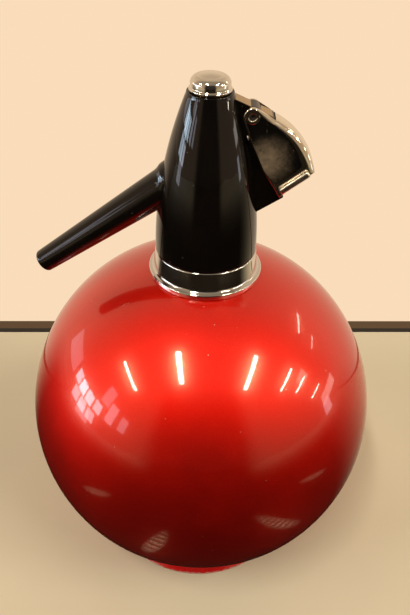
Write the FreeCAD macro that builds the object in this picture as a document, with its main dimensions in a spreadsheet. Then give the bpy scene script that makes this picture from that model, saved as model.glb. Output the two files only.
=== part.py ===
"""Soda siphon: a round vessel on a foot, with a screwed-on dispensing head, spout and lever.

Row frame: millimetres, +Z up, origin on the floor under the vessel's axis. The spout points to -X
and the lever to +X. Every size below can be changed by itself, and the pieces follow.
"""
import FreeCAD, Part
import os
import re
from dataclasses import dataclass

import Sketcher

# ---------------------------------------------------------------------------- driving dimensions
SIZES = {
    # vessel
    "sphere_r": 70.0,            # outside of the ball
    "sphere_wall": 1.6,          # spun aluminium
    "floor_gap": 2.0,            # the ball's lowest point above the floor
    "land_r": 17.5,              # raised ring land round the mouth
    "land_rise": 0.72,           # the land's top above the ball at its rim
    "land_depth": 2.2,           # metal under the land
    "mouth_r": 14.0,             # hole in the ball
    # neck ring, rolled into the mouth
    "neck_bore_r": 12.4,
    "neck_flange_r": 16.8,
    "neck_flange_t": 1.0,
    "neck_thread_r": 15.0,
    "neck_rise": 4.5,
    "neck_lip_r": 15.4,
    "neck_lip_t": 1.2,
    # foot
    "foot_r": 42.0,              # outside edge on the floor
    "foot_waist_r": 38.0,        # where the flare meets the ball
    "foot_flare_r": 20.0,        # curve of the flare
    "foot_wall": 1.8,
    "foot_rim_wall": 2.52,       # the flare's thickness where it meets the rim
    "foot_rim_t": 1.5,           # flat rim under the flare
    "foot_rim_in_r": 34.5,
    "pad_in_r": 36.0,
    "pad_out_r": 40.4,
    "pad_t": 1.1,
    "pad_proud": 0.4,            # the pad stands this far below the rim
    # collar nut
    "collar_r": 18.3,
    "collar_rim_r": 20.7,
    "collar_rim_t": 2.0,
    "collar_hollow_r": 3.0,      # concave flare between band and rim
    "collar_band_foot": 3.6,     # where the band ends and the flare starts
    "collar_top": 8.4,
    "collar_edge": 0.5,
    "collar_shoulder_t": 1.1,
    "collar_skirt_r": 17.9,      # counterbore over the neck flange
    "collar_seat_gap": 0.35,     # rim above the ball
    # clearances
    "thread_play": 0.15,         # radial play in a screw thread
    "end_play": 0.1,             # axial play between clamped faces that still turn
    "turn_gap": 0.3,             # between two parts that turn or slide past each other
    "snug": 0.05,                # radial fit of pieces pushed together
    "running": 0.05,             # radial running fit
    # head core
    "flange_r": 14.8,
    "flange_t": 1.5,
    "gasket_t": 1.2,
    "gasket_in_r": 12.5,
    "spigot_r": 12.0,
    "spigot_drop": 1.0,          # spigot below the neck land
    "core_low_r": 12.6,
    "core_low_top": 26.3,
    "core_mid_r": 9.5,
    "core_mid_top": 52.0,
    "core_tip_r": 4.7,
    "core_tip_top": 60.0,
    # tubes under the head
    "fill_tube_r": 10.4,
    "fill_tube_wall": 0.8,
    "fill_tube_drop": 34.0,      # its open end below the neck land
    "fill_socket_top": 2.0,
    "dip_r": 2.5,
    "dip_wall": 0.8,
    "dip_top": 9.0,
    "dip_floor_gap": 5.0,        # open end above the inside of the ball
    "dip_seat": 7.0,             # face that the dip tube's seal is squeezed against
    "dip_seal_t": 1.5,
    "dip_nut_r": 3.6,            # threaded shank
    "dip_nut_flats": 8.4,
    "dip_nut_drop": 2.0,         # hexagon below the neck land
    "water_r": 1.9,              # water way in the core
    # tower
    "tower_r": 18.2,
    "tower_foot": 8.7,
    "tower_top": 65.5,
    "tower_bow_r": 158.0,        # curve of the tower's side
    "tower_lip_in_r": 6.05,
    "tower_lip_depth": 1.6,
    # spout
    "spout_height": 42.85,        # where the spout's axis crosses the tower's axis
    "spout_fall": 35.9,          # degrees below level
    "spout_reach": 74.4,         # along the spout from the tower's axis
    "spout_root_r": 6.9,         # at the tower's axis
    "spout_tip_r": 4.2,
    "spout_edge": 0.9,
    "spout_spigot_r": 4.3,
    "spout_spigot_start": 15.6,
    "spout_spigot_end": 24.0,
    "liner_r": 2.6,
    "liner_wall": 0.7,
    "liner_start": 5.0,
    "liner_tip_gap": 2.5,        # liner ends this far inside the spout's mouth
    "liner_play": 0.05,
    # valve, along its own rising axis from the tower's axis
    "valve_height": 21.9,
    "valve_rise": 34.0,          # degrees above level
    "barrel_r": 2.4,
    "barrel_in": 8.0,            # inner end, before the tower's axis
    "barrel_out": 26.5,          # the boss's end face
    "barrel_flange_r": 2.8,
    "barrel_flange_t": 0.5,
    "chamber_r": 1.95,
    "seat_at": 3.0,
    "seat_t": 1.0,
    "seat_r": 1.2,
    "outlet_end": 9.8,
    "outlet_chamber_r": 1.8,
    "guide_t": 1.0,
    "gland_r": 1.75,
    "gland_seal_t": 1.8,
    "port_hole_r": 0.8,
    "outlet_at": 8.6,
    "stem_r": 1.0,
    "stem_tail_r": 0.6,
    "stem_tail_in": 0.6,         # the tail's end, before the tower's axis
    "stem_out": 31.0,
    "stem_dome_r": 4.0,
    "washer_r": 1.6,
    "washer_t": 1.5,
    "stem_nut_r": 1.45,
    "stem_nut_t": 1.2,
    "spring_r": 1.2,
    "spring_wire_r": 0.2,
    "spring_turns": 6.0,
    # ways in the core
    "rise_x": 6.0,               # upright outlet way
    "rise_r": 1.3,
    "way_plug_t": 2.0,
    "gas_y": 6.3,                # upright gas way
    "gas_r": 0.9,
    "gas_top": 50.0,
    "gas_plug_t": 1.8,
    "relief_height": 36.0,
    "relief_r": 2.0,
    "relief_seat_y": 7.2,
    "relief_disc_t": 0.2,
    "relief_hole_r": 0.6,
    # rear fin of the tower
    "fin_t": 6.2,
    "fin_root_x": 5.0,
    "roof_start": 65.0,          # the roof's height at the root
    "block_drop": 7.2,           # lower edge below the valve's axis
    "block_lift": 5.0,           # upper corner of the end face above the valve's axis
    "stop_face": 1.7,            # depth of the stop under the roof's end
    "web_x": 5.4,                # rear edge of the fin behind the stop, from the pivot
    "web_drop": 4.0,
    "bump_r": 3.05,               # round boss about the pivot
    # lever, from its pivot
    "pivot_x": 13.5,
    "pivot_height": 58.8,
    "pin_r": 1.05,
    "pin_sink": 0.8,             # the pin's ends inside the cheeks' faces
    "bush_r": 1.9,
    "lever_w": 9.2,
    "cheek_t": 1.2,
    "boss_r": 3.0,
    "boss_meet_x": 0.95,         # where the inner edge meets the boss, as shares of its radius
    "boss_meet_drop": 0.31,
    "stop_x": 7.4,
    "stop_drop": 0.75,
    "back_bow_r": 26.5,          # curve of the strap
    "heel_x": 21.9,              # outer lower corner
    "heel_drop": 18.7,
    "toe_x": 10.7,               # inner lower corner
    "toe_drop": 27.7,
    "toe_round": 1.4,
    "throat_x": 4.3,             # inner edge beside the tower
    "throat_drop": 17.8,
    "neck_x": 0.2,
    "neck_drop": 9.0,
    "strap_t": 1.4,
    "sole_t": 1.4,
    "sole_start": 31.2,          # the sole spans the cheeks from here, along the valve's axis
    "rib_r": 2.0,
    "rib_gap": 0.25,             # rib before the stem's end
    "rib_past_heel": 0.274759,   # the rib's end past the heel, along the valve's axis
    "inlay_sink": 0.6,           # depth of the recess in each cheek
    "inlay_t": 0.5,
    "inlay_gap": 0.1,
    "inlay_bow_r": 27.0,         # curve of its back edge
    "rim_top": 1.25,              # bright rim round the inlay: along the top,
    "rim_back": 2.6,             # at the back,
    "rim_sole": 4.8,             # along the sole
    "rim_throat": 0.5,           # and along the inner edge
    "rim_stop_share": 0.7,       # the rim's depth under the stop, as a share of the top rim
    "rim_heel_share": 0.75,      # its setback at the heel, as a share of the back rim
    "rim_toe_share": 0.35,       # its setback at the toe, as a share of the sole's rim
    "ring_r": 2.3,               # bright ring round the pin
    # charging port, above the core
    "port_thread_r": 3.2,
    "port_thread_foot": 54.0,
    "port_body_r": 4.6,
    "port_flange_r": 6.0,
    "port_flange_t": 1.4,
    "port_rim_r": 5.4,
    "port_rim_top": 68.6,
    "port_pit_r": 4.55,
    "port_pit_floor": 65.0,
    "port_gasket_t": 0.8,
    "port_gasket_in_r": 1.6,
    "check_bore_r": 2.2,
    "check_seat": 61.0,
    "check_way_r": 0.6,
    "check_floor": 49.0,
    "poppet_r": 1.7,
    "poppet_t": 1.8,
    "poppet_tail_t": 0.9,        # the tail that centres the spring
    "check_spring_r": 1.5,
    "check_wire_r": 0.2,
    "check_turns": 7.0,
    "pin_tip": 67.9,
    "pin_point_r": 0.15,
    "pin_point_h": 1.4,
    "needle_r": 0.8,
    "needle_bore_r": 0.35,
    "needle_foot": 62.5,
    # cap
    "cap_r": 6.45,
    "cap_lip_r": 6.95,
    "cap_lip_h": 1.1,
    "cap_lip_edge_h": 0.55,      # upright part of the lip
    "cap_top": 70.9,
    "cap_round": 2.6,
    "cap_crown_r": 13.0,
    "cap_roof_t": 1.2,
    "cap_liner_t": 0.8,
    "cap_liner_r": 5.2,
    "seal_squeeze": 0.02,        # air left between a seal and the face it closes on
}

# ---------------------------------------------------------------------------- document and sheet
doc = FreeCAD.newDocument("soda_siphon")
sheet = doc.addObject("Spreadsheet::Sheet", "sizes")
for row, (alias, number) in enumerate(SIZES.items(), start=1):
    sheet.set("A%d" % row, alias)
    sheet.set("B%d" % row, str(number))
    sheet.setAlias("B%d" % row, alias)
doc.recompute()

# places that several pieces share, as formulas of the sheet's sizes
PLACES = {
    "BALL_Z": "(sphere_r + floor_gap)",
    "LAND": "(sqrt(sphere_r^2 - land_r^2) + land_rise)",
    "SEAL_TOP": "(neck_rise + gasket_t)",
    "FLANGE_TOP": "(neck_rise + gasket_t + flange_t)",
    "DIP_END": "(sqrt(sphere_r^2 - land_r^2) + land_rise + sphere_r - sphere_wall - dip_floor_gap)",
    "TOWER_TIP_R": "(tower_r - tower_bow_r + sqrt(tower_bow_r^2 - (tower_top - tower_foot)^2))",
    "VALVE_COS": "cos(valve_rise)",
    "VALVE_SIN": "sin(valve_rise)",
    "STOP_ANGLE": "(-(asin(boss_r / sqrt(stop_x^2 + stop_drop^2)) + atan(stop_drop / stop_x)) / (1 deg))",
    "HEEL_ALONG": "((pivot_x + heel_x) * VALVE_COS + (pivot_height - heel_drop - valve_height) * VALVE_SIN)",
}
FULL_TURN = 360
HEXAGON = 6                      # sides of a nut


def cell(word):
    """A word of a formula, pointed at the sheet if it names one of the sizes."""
    name = word.group()
    return "sizes." + name if name in SIZES else name


def bound(formula):
    """Write a formula of size names so that the document's expression engine can read it."""
    while True:
        wider = re.sub(r"[A-Z][A-Z_]+", lambda word: PLACES[word.group()], formula)
        if wider == formula:
            break
        formula = wider
    return re.sub(r"[a-z_]+", cell, formula)


def number(formula):
    """The formula's value with the sheet's present sizes."""
    found = sheet.evalExpression(bound(formula))
    return float(getattr(found, "Value", found))


# ---------------------------------------------------------------------------- outlines
@dataclass(frozen=True)
class Corner:
    """A corner of an outline, at formulas across and up, with an optional rounding."""
    across: str
    up: str
    rounding: str = ""


@dataclass(frozen=True)
class Bow:
    """The edge that follows is an arc of this radius; turn is 1 anticlockwise, -1 clockwise."""
    radius: str
    turn: int


def place(sketch, geometry, point, corner):
    """Tie one point of the sketch to the corner's formulas."""
    for kind, formula, axis in (("DistanceX", corner.across, -2), ("DistanceY", corner.up, -1)):
        if formula == "0":
            sketch.addConstraint(Sketcher.Constraint("PointOnObject", geometry, point, axis))
            continue
        index = sketch.addConstraint(Sketcher.Constraint(kind, -1, 1, geometry, point, number(formula)))
        sketch.setExpression("Constraints[%d]" % index, bound(formula))


def arc_between(start, end, radius, turn):
    """The arc of a radius from start to end, and which of its ends is the start."""
    chord = end - start
    rise = (radius ** 2 - chord.Length ** 2 / 4) ** 0.5
    left = FreeCAD.Vector(-chord.y, chord.x, 0) / chord.Length
    centre = (start + end) / 2 + left * rise * turn
    circle = Part.Circle(centre, FreeCAD.Vector(0, 0, 1), radius)
    first, last = (start, end) if turn > 0 else (end, start)
    arc = Part.ArcOfCircle(circle, circle.parameter(first), circle.parameter(last))
    return arc, (1, 2) if turn > 0 else (2, 1)


def outline(body, name, items, offset=""):
    """A closed sketch on the body's XZ plane, through corners and bows, bound to the sheet."""
    sketch = body.newObject("Sketcher::SketchObject", name)
    plane = [feature for feature in body.Origin.OriginFeatures if feature.Role == "XZ_Plane"][0]
    sketch.AttachmentSupport = [(plane, "")]
    sketch.MapMode = "FlatFace"
    if offset:
        sketch.setExpression("AttachmentOffset.Base.z", bound(offset))
    corners = [item for item in items if isinstance(item, Corner)]
    bows = {}
    for index, item in enumerate(items):
        if isinstance(item, Bow):
            bows[corners.index(items[index - 1])] = item
    spots = [FreeCAD.Vector(number(corner.across), number(corner.up), 0) for corner in corners]
    count = len(corners)
    starts = list(spots)
    ends = [spots[(index + 1) % count] for index in range(count)]
    for index, corner in enumerate(corners):
        if corner.rounding:
            before = (spots[index - 1] - spots[index]).normalize()
            after = (spots[(index + 1) % count] - spots[index]).normalize()
            setback = number(corner.rounding) * ((1 + before * after) / (1 - before * after)) ** 0.5
            ends[index - 1] = spots[index] + before * setback
            starts[index] = spots[index] + after * setback
    edges = []
    for index in range(count):
        if index in bows:
            radius = number(bows[index].radius)
            shape, tips = arc_between(starts[index], ends[index], radius, bows[index].turn)
            edge = sketch.addGeometry(shape)
            rule = sketch.addConstraint(Sketcher.Constraint("Radius", edge, radius))
            sketch.setExpression("Constraints[%d]" % rule, bound(bows[index].radius))
        else:
            edge = sketch.addGeometry(Part.LineSegment(starts[index], ends[index]))
            tips = (1, 2)
        edges.append((edge, tips))
    for index, corner in enumerate(corners):
        edge_in, tips_in = edges[index - 1]
        edge_out, tips_out = edges[index]
        if not corner.rounding:
            joint = Sketcher.Constraint("Coincident", edge_in, tips_in[1], edge_out, tips_out[0])
            sketch.addConstraint(joint)
            place(sketch, edge_out, tips_out[0], corner)
            continue
        radius = number(corner.rounding)
        incoming = spots[index] - spots[index - 1]
        outgoing = spots[(index + 1) % count] - spots[index]
        turn = 1 if incoming.cross(outgoing).z > 0 else -1
        shape, tips = arc_between(ends[index - 1], starts[index], radius, turn)
        curve = sketch.addGeometry(shape)
        point = sketch.addGeometry(Part.Point(spots[index]), True)
        place(sketch, point, 1, corner)
        sketch.addConstraint(Sketcher.Constraint("PointOnObject", point, 1, edge_in))
        sketch.addConstraint(Sketcher.Constraint("PointOnObject", point, 1, edge_out))
        sketch.addConstraint(Sketcher.Constraint("Tangent", edge_in, tips_in[1], curve, tips[0]))
        sketch.addConstraint(Sketcher.Constraint("Tangent", curve, tips[1], edge_out, tips_out[0]))
        rule = sketch.addConstraint(Sketcher.Constraint("Radius", curve, radius))
        sketch.setExpression("Constraints[%d]" % rule, bound(corner.rounding))
    return sketch


# ---------------------------------------------------------------------------- features
PARTS = []


def new_body(label, across="0", up="BALL_Z + LAND", turn=""):
    """A sub-part at its place over the vessel's axis, tipped about Y where a turn is given."""
    body = doc.addObject("PartDesign::Body", label)
    body.Label = label
    if turn:
        body.Placement.Rotation = FreeCAD.Rotation(FreeCAD.Vector(0, 1, 0), number(turn))
        body.setExpression("Placement.Rotation.Angle", bound(turn))
    if across != "0":
        body.setExpression("Placement.Base.x", bound(across))
    if up != "0":
        body.setExpression("Placement.Base.z", bound(up))
    PARTS.append(body)
    return body


def spin(body, name, items, cut=False):
    """Turn an outline round the body's own Z axis, adding or cutting."""
    sketch = outline(body, name + "_outline", items)
    feature = body.newObject("PartDesign::Groove" if cut else "PartDesign::Revolution", name)
    feature.Profile = sketch
    feature.ReferenceAxis = (sketch, ["V_Axis"])
    feature.Angle = FULL_TURN
    return feature


def slab(body, name, items, thickness, cut=False, offset="", outwards=0):
    """An outline in the XZ plane given a thickness: centred, or to one side of an offset plane."""
    sketch = outline(body, name + "_outline", items, offset)
    feature = body.newObject("PartDesign::Pocket" if cut else "PartDesign::Pad", name)
    feature.Profile = sketch
    feature.setExpression("Length", bound(thickness))
    if outwards:
        feature.Reversed = (outwards < 0) != cut
    else:
        feature.SideType = "Symmetric"
    return feature


def rod(body, name, radius, start, length, across="0", up="0", turn="0", side="0", lying=False, cut=False):
    """A round bar or bore. It runs along Z tipped about Y by turn, or along Y when lying."""
    kind = "PartDesign::SubtractiveCylinder" if cut else "PartDesign::AdditiveCylinder"
    feature = body.newObject(kind, name)
    feature.setExpression("Radius", bound(radius))
    feature.setExpression("Height", bound(length))
    if lying:
        feature.Placement.Rotation = FreeCAD.Rotation(FreeCAD.Vector(1, 0, 0), -90)
        base = (across, "(%s) + (%s)" % (side, start), up)
    else:
        feature.Placement.Rotation = FreeCAD.Rotation(FreeCAD.Vector(0, 1, 0), number(turn) or 0)
        if turn != "0":
            feature.setExpression("Placement.Rotation.Angle", bound(turn))
        moved_across = "(%s) + (%s) * sin(%s)" % (across, start, turn)
        moved_up = "(%s) + (%s) * cos(%s)" % (up, start, turn)
        base = (moved_across, side, moved_up)
    for letter, formula in zip("xyz", base):
        feature.setExpression("Placement.Base.%s" % letter, bound(formula))
    return feature


def ring(label, inner, outer, foot, top, **at):
    """A plain ring or tube as a body of its own."""
    body = new_body(label, **at)
    spin(body, label + "_ring", [
        Corner(inner, foot), Corner(outer, foot), Corner(outer, top), Corner(inner, top)])
    return body


def disc(label, outer, foot, top, **at):
    """A plain round disc or pin as a body of its own."""
    body = new_body(label, **at)
    spin(body, label + "_disc", [
        Corner("0", foot), Corner(outer, foot), Corner(outer, top), Corner("0", top)])
    return body


def coil(label, radius, wire, turns, foot, top, up, across="0", turn="0"):
    """A compression spring as a swept helix between two heights along its own axis."""
    helix = doc.addObject("Part::Helix", label + "_line")
    helix.setExpression("Radius", bound(radius))
    helix.setExpression("Height", bound("(%s) - (%s) - 2 * %s" % (top, foot, wire)))
    helix.setExpression("Pitch", bound("((%s) - (%s) - 2 * %s) / %s" % (top, foot, wire, turns)))
    section = doc.addObject("Part::Circle", label + "_wire")
    section.setExpression("Radius", bound(wire))
    section.Placement.Rotation = FreeCAD.Rotation(FreeCAD.Vector(1, 0, 0), 90)
    section.setExpression("Placement.Base.x", bound(radius))
    sweep = doc.addObject("Part::Sweep", label)
    sweep.Label = label
    doc.recompute()
    sweep.Sections = [section]
    sweep.Spine = (helix, ["Edge1"])
    sweep.Solid = True
    sweep.Frenet = True
    start = "(%s) + %s" % (foot, wire)
    sweep.Placement.Rotation = FreeCAD.Rotation(FreeCAD.Vector(0, 1, 0), number(turn) or 0)
    if turn != "0":
        sweep.setExpression("Placement.Rotation.Angle", bound(turn))
    sweep.setExpression("Placement.Base.x", bound("(%s) + (%s) * sin(%s)" % (across, start, turn)))
    sweep.setExpression("Placement.Base.z", bound("(%s) + (%s) * cos(%s)" % (up, start, turn)))
    PARTS.append(sweep)
    return sweep


# ---------------------------------------------------------------------------- places in the head
HEAD = "BALL_Z + LAND"                                   # top face of the neck land
VALVE_TURN = "90 - valve_rise"                           # local +Z outwards along the valve
SPOUT_TURN = "-90 - spout_fall"                          # local +Z outwards along the spout
VALVE_AT = {"up": "BALL_Z + LAND + valve_height", "turn": VALVE_TURN}
SPOUT_AT = {"up": "BALL_Z + LAND + spout_height", "turn": SPOUT_TURN}
LEVER_AT = {"across": "pivot_x", "up": "BALL_Z + LAND + pivot_height"}


def on_ball(radius, gap="0"):
    """Height of the ball's surface at a radius, from the neck land, raised by a gap."""
    return "sqrt(sphere_r^2 - (%s)^2) - LAND + %s" % (radius, gap)


# ---------------------------------------------------------------------------- vessel
def vessel_shell():
    """Ball with a flat-topped land round its mouth."""
    inner = "sphere_r - sphere_wall"
    under = "LAND - land_depth"
    body = new_body("vessel_shell", up="BALL_Z")
    spin(body, "ball", [
        Corner("0", "-sphere_r"), Bow("sphere_r", 1),
        Corner("land_r", "sqrt(sphere_r^2 - land_r^2)"),
        Corner("land_r", "LAND"), Corner("mouth_r", "LAND"), Corner("mouth_r", under),
        Corner("sqrt((%s)^2 - (%s)^2)" % (inner, under), under), Bow(inner, -1),
        Corner("0", "-(%s)" % inner)])


def neck_ring():
    """Threaded ring rolled into the mouth, with a flange above and a lip below the land."""
    under = "-land_depth"
    body = new_body("neck_ring")
    spin(body, "neck", [
        Corner("neck_bore_r", under + " - neck_lip_t"), Corner("neck_lip_r", under + " - neck_lip_t"),
        Corner("neck_lip_r", under), Corner("mouth_r", under), Corner("mouth_r", "0"),
        Corner("neck_flange_r", "0"), Corner("neck_flange_r", "neck_flange_t"),
        Corner("neck_thread_r", "neck_flange_t"), Corner("neck_thread_r", "neck_rise", "collar_edge"),
        Corner("neck_bore_r", "neck_rise")])


def foot_ring():
    """Flared ring bonded under the ball, with a grooved rim for the pad."""
    body = new_body("foot_ring", up="0")
    meets = "BALL_Z - sqrt((sphere_r + snug)^2 - (%s)^2)"
    outer, inner = "foot_waist_r", "foot_waist_r - foot_wall"
    rim_top = "pad_proud + foot_rim_t"
    spin(body, "flare", [
        Corner("foot_rim_in_r", "pad_proud"), Corner("foot_r", "pad_proud"), Bow("foot_flare_r", -1),
        Corner(outer, meets % outer), Bow("sphere_r + snug", -1),
        Corner(inner, meets % inner), Bow("foot_flare_r + foot_wall", 1),
        Corner("foot_r - foot_rim_wall", rim_top), Corner("foot_rim_in_r", rim_top)])
    spin(body, "pad_groove", [
        Corner("pad_in_r", "0"), Corner("pad_out_r", "0"),
        Corner("pad_out_r", "pad_t"), Corner("pad_in_r", "pad_t")], cut=True)


def foot_pad():
    """Soft ring in the foot's groove: the face the siphon stands on."""
    ring("foot_pad", "pad_in_r + snug", "pad_out_r - snug", "0", "pad_t", up="0")


# ---------------------------------------------------------------------------- collar
def collar():
    """Bright nut: a band, a hollow flare and a rim close over the ball, threaded inside."""
    rim_foot = on_ball("collar_rim_r", "collar_seat_gap")
    thread = "neck_thread_r + thread_play"
    shoulder = "FLANGE_TOP + end_play"
    hole = "core_low_r + turn_gap"
    body = new_body("collar")
    spin(body, "nut", [
        Corner(hole, shoulder), Corner(hole, "collar_top"), Corner("collar_r", "collar_top", "collar_edge"),
        Corner("collar_r", "collar_band_foot"), Bow("collar_hollow_r", 1),
        Corner("collar_rim_r", rim_foot + " + collar_rim_t"), Corner("collar_rim_r", rim_foot),
        Corner("collar_skirt_r", on_ball("collar_skirt_r", "collar_seat_gap")),
        Corner("collar_skirt_r", "neck_flange_t + turn_gap"), Corner(thread, "neck_flange_t + turn_gap"),
        Corner(thread, shoulder)])


# ---------------------------------------------------------------------------- head: metal core
def head_core():
    """Cast and bored body that joins the tubes, the valve, the spout and the charging port."""
    body = new_body("head_core")
    spin(body, "casting", [
        Corner("0", "-spigot_drop"), Corner("spigot_r", "-spigot_drop"), Corner("spigot_r", "SEAL_TOP"),
        Corner("flange_r", "SEAL_TOP"), Corner("flange_r", "FLANGE_TOP"), Corner("core_low_r", "FLANGE_TOP"),
        Corner("core_low_r", "core_low_top"), Corner("core_mid_r", "core_low_top"),
        Corner("core_mid_r", "core_mid_top"), Corner("core_tip_r", "core_mid_top"),
        Corner("core_tip_r", "core_tip_top"), Corner("0", "core_tip_top")])
    spin(body, "tube_bores", [
        Corner("0", "-spigot_drop"), Corner("fill_tube_r", "-spigot_drop"),
        Corner("fill_tube_r", "fill_socket_top"), Corner("dip_nut_r", "fill_socket_top"),
        Corner("dip_nut_r", "dip_seat"), Corner("dip_r", "dip_seat"), Corner("dip_r", "dip_top"),
        Corner("water_r", "dip_top"), Corner("water_r", "valve_height"),
        Corner("0", "valve_height")], cut=True)
    spin(body, "port_bore", [
        Corner("0", "check_floor"), Corner("check_bore_r", "check_floor"),
        Corner("check_bore_r", "port_thread_foot"), Corner("port_thread_r", "port_thread_foot"),
        Corner("port_thread_r", "core_tip_top"), Corner("0", "core_tip_top")], cut=True)
    rod(body, "valve_bore", "barrel_r", "-barrel_in", "barrel_in + 2 * core_low_r",
        up="valve_height", turn=VALVE_TURN, cut=True)
    rod(body, "spout_bore", "liner_r - liner_wall", "-rise_x / cos(spout_fall)", "rise_x + 2 * core_mid_r",
        up="spout_height", turn=SPOUT_TURN, cut=True)
    rod(body, "liner_socket", "liner_r", "liner_start", "2 * core_mid_r",
        up="spout_height", turn=SPOUT_TURN, cut=True)
    rod(body, "outlet_way", "rise_r", "valve_height + rise_x * tan(valve_rise)",
        "core_mid_top - valve_height - rise_x * tan(valve_rise)", across="rise_x", cut=True)
    rod(body, "gas_way", "gas_r", "fill_socket_top", "gas_top + gas_r - fill_socket_top",
        side="gas_y", cut=True)
    rod(body, "gas_cross_way", "gas_r", "0", "core_mid_r", up="gas_top", lying=True, cut=True)
    rod(body, "relief_way", "gas_r", "gas_y", "core_mid_r - gas_y",
        up="relief_height", lying=True, cut=True)
    rod(body, "relief_socket", "relief_r", "relief_seat_y", "core_mid_r - relief_seat_y",
        up="relief_height", lying=True, cut=True)


def neck_gasket():
    """Rubber ring squeezed between the neck ring and the core's flange."""
    ring("neck_gasket", "gasket_in_r", "flange_r", "neck_rise", "SEAL_TOP")


def tubes():
    """Fill-limiting tube, dip tube, and the nut and seal that hold the dip tube."""
    ring("fill_tube", "fill_tube_r - fill_tube_wall", "fill_tube_r", "-fill_tube_drop", "fill_socket_top")
    ring("dip_tube", "dip_r - dip_wall", "dip_r", "-DIP_END", "dip_top")
    seal_foot = "dip_seat - dip_seal_t"
    ring("dip_tube_seal", "dip_r", "dip_nut_r", seal_foot, "dip_seat")
    body = new_body("dip_tube_nut")
    half = "dip_nut_flats / 2"
    corner_r = "dip_nut_flats / 2 / cos(%s)" % (FULL_TURN / HEXAGON / 2)
    spin(body, "shank", [
        Corner("dip_r + snug", "-dip_nut_drop"), Corner(corner_r, "-dip_nut_drop"),
        Corner(corner_r, "fill_socket_top"), Corner("dip_nut_r", "fill_socket_top"),
        Corner("dip_nut_r", seal_foot), Corner("dip_r + snug", seal_foot)])
    for index in range(HEXAGON):
        flat = body.newObject("PartDesign::SubtractiveBox", "flat_%d" % (index + 1))
        flat.setExpression("Length", bound(half))
        flat.setExpression("Width", bound("2 * " + corner_r))
        flat.setExpression("Height", bound("fill_socket_top + dip_nut_drop"))
        angle = FULL_TURN / HEXAGON * index
        flat.Placement.Rotation = FreeCAD.Rotation(FreeCAD.Vector(0, 0, 1), angle)
        flat_x = "%s * cos(%s) + %s * sin(%s)" % (half, angle, corner_r, angle)
        flat_y = "%s * sin(%s) - %s * cos(%s)" % (half, angle, corner_r, angle)
        flat.setExpression("Placement.Base.x", bound(flat_x))
        flat.setExpression("Placement.Base.y", bound(flat_y))
        flat.setExpression("Placement.Base.z", bound("-dip_nut_drop"))


def way_plugs():
    """Plugs that close the drilled ends of the water and gas ways."""
    body = new_body("waterway_plug")
    rod(body, "plug", "rise_r", "core_mid_top - way_plug_t", "way_plug_t", across="rise_x")
    body = new_body("gas_way_plug")
    rod(body, "plug", "gas_r", "core_mid_r - gas_plug_t - snug", "gas_plug_t",
        up="gas_top", lying=True)


def relief():
    """Thin bursting disc and the hollow screw that holds it, in the side of the gas way."""
    body = new_body("relief_disc")
    rod(body, "foil", "relief_r", "relief_seat_y", "relief_disc_t", up="relief_height", lying=True)
    body = new_body("relief_screw")
    start = "relief_seat_y + relief_disc_t"
    length = "core_mid_r - relief_seat_y - relief_disc_t - turn_gap"
    rod(body, "screw", "relief_r", start, length, up="relief_height", lying=True)
    rod(body, "vent", "relief_hole_r", start, length, up="relief_height", lying=True, cut=True)


# ---------------------------------------------------------------------------- head: tower
def tower_side(gap="0"):
    """The corners of the tower's curved side from foot to top, moved out by a gap."""
    return [Corner("tower_r + (%s)" % gap, "tower_foot"), Bow("tower_bow_r + (%s)" % gap, 1),
            Corner("TOWER_TIP_R + (%s)" % gap, "tower_top")]


def along_valve(out, over):
    """Across and up of a point by its distance out along the valve's axis and over it."""
    return ("(%s) * VALVE_COS - (%s) * VALVE_SIN" % (out, over),
            "valve_height + (%s) * VALVE_SIN + (%s) * VALVE_COS" % (out, over))


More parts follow.
